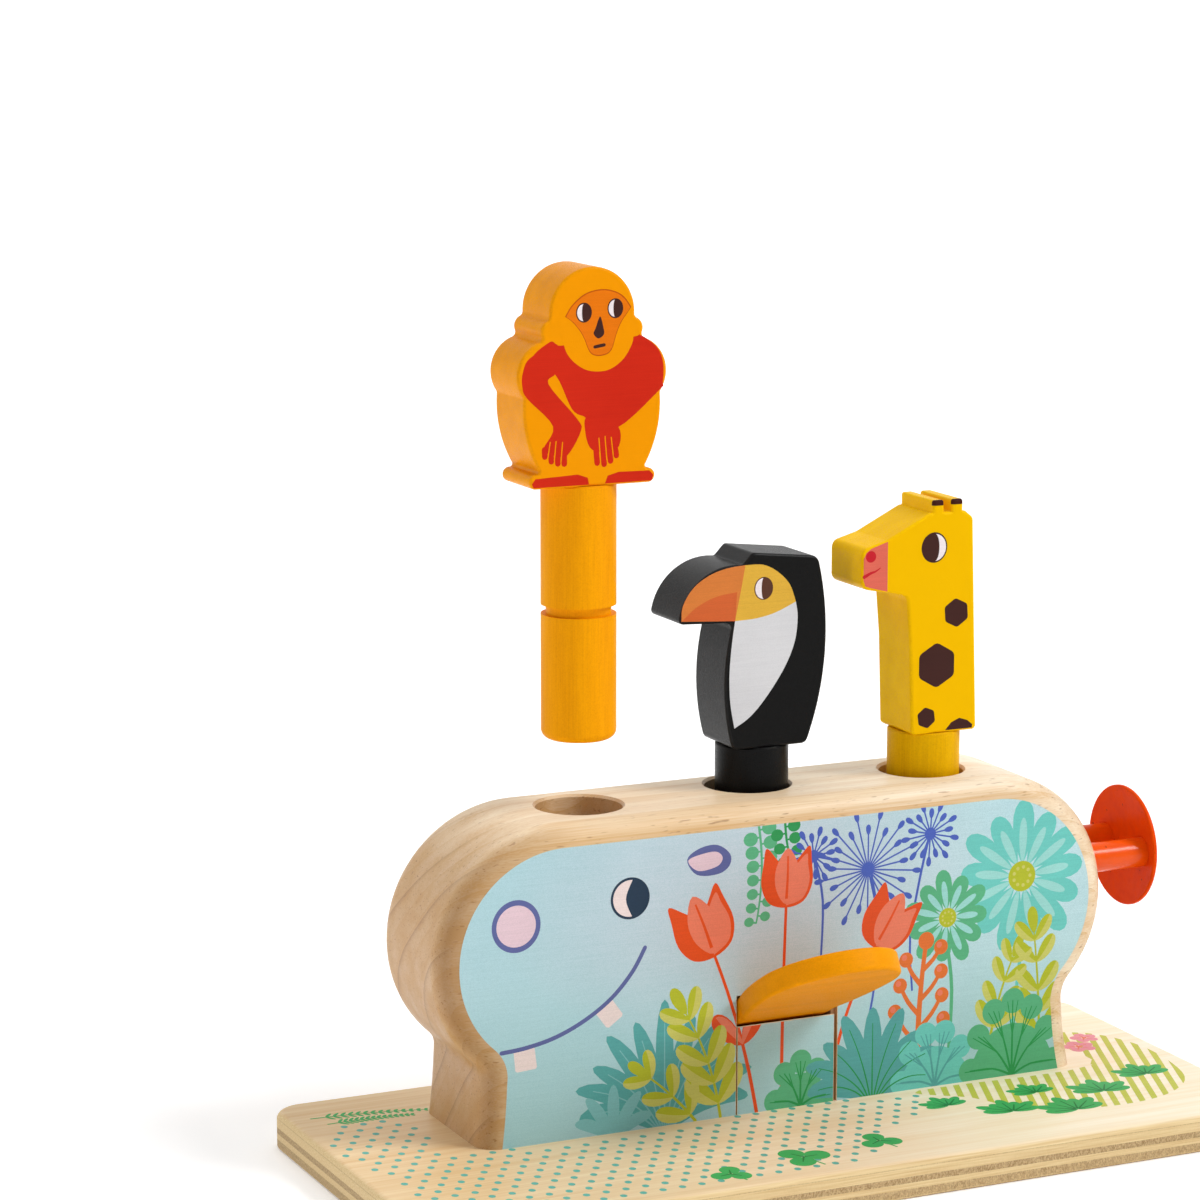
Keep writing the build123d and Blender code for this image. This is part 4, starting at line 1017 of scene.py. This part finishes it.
monkey = {
    "shift": -1.2,
    "chest": [(-13.5, 45.7), (-11.1, 44.9), (-8, 44.5), (14.5, 46), (17.2, 46.6), (22.8, 42.8),
              (25.2, 38), (25.2, 31.5), (23.8, 28.8), (9.3, 17.8), (-0.2, 20.9), (-1.8, 22),
              (-6, 24.6), (-11.5, 35.4), (-19.4, 40.6)],
    "leftArm": [(-20.2, 41), (-22.6, 36.4), (-22.7, 32.3), (-21.1, 28.6), (-12.4, 19.5), (-15.6, 12.6),
                (-11.9, 10.4), (-7.6, 10.2), (-3, 17.5), (-4.2, 21.4), (-13.9, 32.7), (-11.5, 36.2),
                (-12.6, 43.6)],
    "leftFingers": [((-15.3, 12.4), (-15.2, 10.2)), ((-13.2, 11.6), (-13, 8.6)),
                    ((-10.9, 11.4), (-10.8, 7.8)), ((-8.7, 11.2), (-8.6, 7.6))],
    "rightHand": [(-0.4, 22), (-1.5, 17.6), (1, 11.4), (9.4, 11.2), (9.7, 18.4)],
    "rightFingers": [((2.2, 11.8), (2.6, 7.2)), ((4.5, 11.4), (5, 6.7)), ((6.7, 11.6), (7.2, 7.6)),
                     ((8.7, 12), (9.2, 9.2))],
    "fingerWidth": 1.9,
    "fingerGaps": [((-13.4, 14.6), (-14.2, 9.6)), ((-11.4, 14.8), (-12, 8.8)), ((-9.2, 14.4), (-9.75, 8.2)),
                   ((3.2, 15), (3.75, 8)), ((5.3, 15.4), (5.9, 8)), ((7.4, 15), (8.1, 9.4))],
    "gapWidth": 0.34,
    "head": [(-8.7, 44.6), (-6.1, 39.9), (-0.8, 36.4), (5.7, 36), (10.8, 38.6), (14.1, 43), (15, 47),
             (13.6, 54), (0.5, 60), (-10, 54)],
    "maskTop": [(-8.3, 53.3), (-6, 56.7), (-2.1, 59.8), (1.9, 61.1), (5.9, 61.2), (9.7, 60.1), (12.2, 58.3),
                (14.3, 55.4)],
    "maskLow": [(14.3, 55.4), (12.8, 53.4), (11, 51), (9.6, 48.2), (8.7, 45.6), (7.7, 42.7), (6.1, 41.1),
                (3, 40.6), (0.6, 41.4), (-0.7, 43.4), (-1.8, 46.1), (-3.4, 48.8), (-6, 51.7),
                (-8.3, 53.3)],
    "maskLine": 0.965,
    "eyes": [(-1.9, 54.3), (8.8, 55.2)],
    "eyeRadius": 2.7,
    "eyeWhite": {"radius": 2.2, "squash": 1.2, "cut": 0.25, "side": -1},
    "nose": [(3.6, 52.9), (2.1, 49.4), (1.4, 47.6), (3, 46.1), (4.9, 47.3), (4.7, 49.6)],
    "mouth": [(1.8, 43.5), (5, 44)],
    "mouthWidth": 1.05,
    "feet": [
        [(-19, 0.6), (-19.6, 1.9), (-18.4, 3.4), (-4, 4), (-0.6, 2.8), (-0.2, 0.6)],
        [(5.3, 0.6), (6.2, 3), (10, 4), (20.6, 3.8), (22, 2.4), (21.4, 0.6)],
    ],
}
sheet = animalPrint("monkey")


def putMonkey(level, inkName, *outlines):
    sheet.put(level, inkName, *[shifted(outline, monkey["shift"], 0) for outline in outlines])


mask = smooth(monkey["maskTop"])[:-1] + smooth(monkey["maskLow"])[:-1]
maskMiddle = sum((Vector(p) for p in mask), Vector((0, 0))) / len(mask)
maskInner = [tuple(maskMiddle.lerp(Vector(p), monkey["maskLine"])) for p in mask]
fingers = [stroke(finger, monkey["fingerWidth"]) for finger in monkey["leftFingers"] + monkey["rightFingers"]]
putMonkey(3, "red", smooth(monkey["chest"], True), *monkey["feet"])
putMonkey(4, "red", smooth(monkey["leftArm"], True), smooth(monkey["rightHand"], True), *fingers)
putMonkey(5, "orange", *[stroke(gap, monkey["gapWidth"]) for gap in monkey["fingerGaps"]])
putMonkey(6, "orange", smooth(monkey["head"], True))
putMonkey(7, "maskLine", mask)
putMonkey(8, "mask", maskInner)
for x, z in monkey["eyes"]:
    putMonkey(9, "brown", disc((x, z), monkey["eyeRadius"], 32, 1.15))
    putMonkey(10, "white", crescent((x - 0.1, z), **monkey["eyeWhite"]))
putMonkey(9, "brown", smooth(monkey["nose"], True), stroke(monkey["mouth"], monkey["mouthWidth"]))
sheet.finish(animalInks)
print("animals done")

# a floor that reaches the horizon, a room that is brightest behind the toy, two soft suns and a strip light
stage = {"floorHalf": 60, "paper": ("ffffff", "fbfbfb"), "room": 0.36, "behind": 1, "lit": 0.18}
floorMesh = bpy.data.meshes.new("floor")
builder = bmesh.new()
bmesh.ops.create_grid(builder, x_segments=1, y_segments=1, size=stage["floorHalf"])
builder.to_mesh(floorMesh)
builder.free()
floor = placed("floor", floorMesh)
paper = Graph("floor_paper")
mottle = paper.span(paper.noise(40, 2, 0.5), 0.3, 0.7)
floorMesh.materials.append(paper.finish(paper.blend(mottle, *stage["paper"]), 0.9))
paper.shader.inputs["Emission Color"].default_value = srgb("ffffff")
paper.shader.inputs["Emission Strength"].default_value = stage["lit"]

world = bpy.data.worlds.new("studio")
bpy.context.scene.world = world
world.use_nodes = True
room = world.node_tree.nodes
sky = room.new("ShaderNodeTexCoord")
split = room.new("ShaderNodeSeparateXYZ")
glow = room.new("ShaderNodeMapRange")
glow.inputs["From Min"].default_value = 0.1
glow.inputs["To Min"].default_value = stage["room"]
glow.inputs["To Max"].default_value = stage["behind"]
world.node_tree.links.new(sky.outputs["Generated"], split.inputs[0])
world.node_tree.links.new(split.outputs["Y"], glow.inputs["Value"])
world.node_tree.links.new(glow.outputs[0], room["Background"].inputs["Strength"])
room["Background"].inputs["Color"].default_value = srgb("ffffff")


def addLight(name, kind, toward, power):
    lamp = placed(name, bpy.data.lights.new(name, kind))
    lamp.data.energy = power
    lamp.rotation_mode = "QUATERNION"
    lamp.rotation_quaternion = Vector(toward).to_track_quat("Z", "Y")
    return lamp


suns = {
    "key": {"toward": (0.8, -0.55, 0.85), "power": 2.1, "spread": 24},
    "overhead": {"toward": (-0.1, 0.25, 1), "power": 0.8, "spread": 60},
}
for name, sun in suns.items():
    addLight(name, "SUN", sun["toward"], sun["power"]).data.angle = math.radians(sun["spread"])
stripLight = {"place": (-1.85, -0.42, 0.42), "size": (0.12, 0.5), "power": 2.4}
strip = addLight("strip", "AREA", stripLight["place"], stripLight["power"])
strip.location = stripLight["place"]
strip.data.shape = "RECTANGLE"
strip.data.size, strip.data.size_y = stripLight["size"]

view = {
    "place": (-0.5551, -1.0624, 0.3974),
    "looking": (0.4136, 0.8926, -0.1795),
    "rightward": (0.9073, -0.4204, 0),
    "lens": 115.08,
}
camera = placed("camera", bpy.data.cameras.new("camera"))
looking = Vector(view["looking"]).normalized()
rightward = Vector(view["rightward"]).normalized()
camera.location = view["place"]
camera.rotation_mode = "QUATERNION"
axes = Matrix((rightward, rightward.cross(looking), -looking)).transposed()
camera.rotation_quaternion = axes.to_quaternion()
camera.data.sensor_width = 36
camera.data.lens = view["lens"]
bpy.context.scene.camera = camera
bpy.context.scene.view_settings.view_transform = "Standard"
print("stage done")
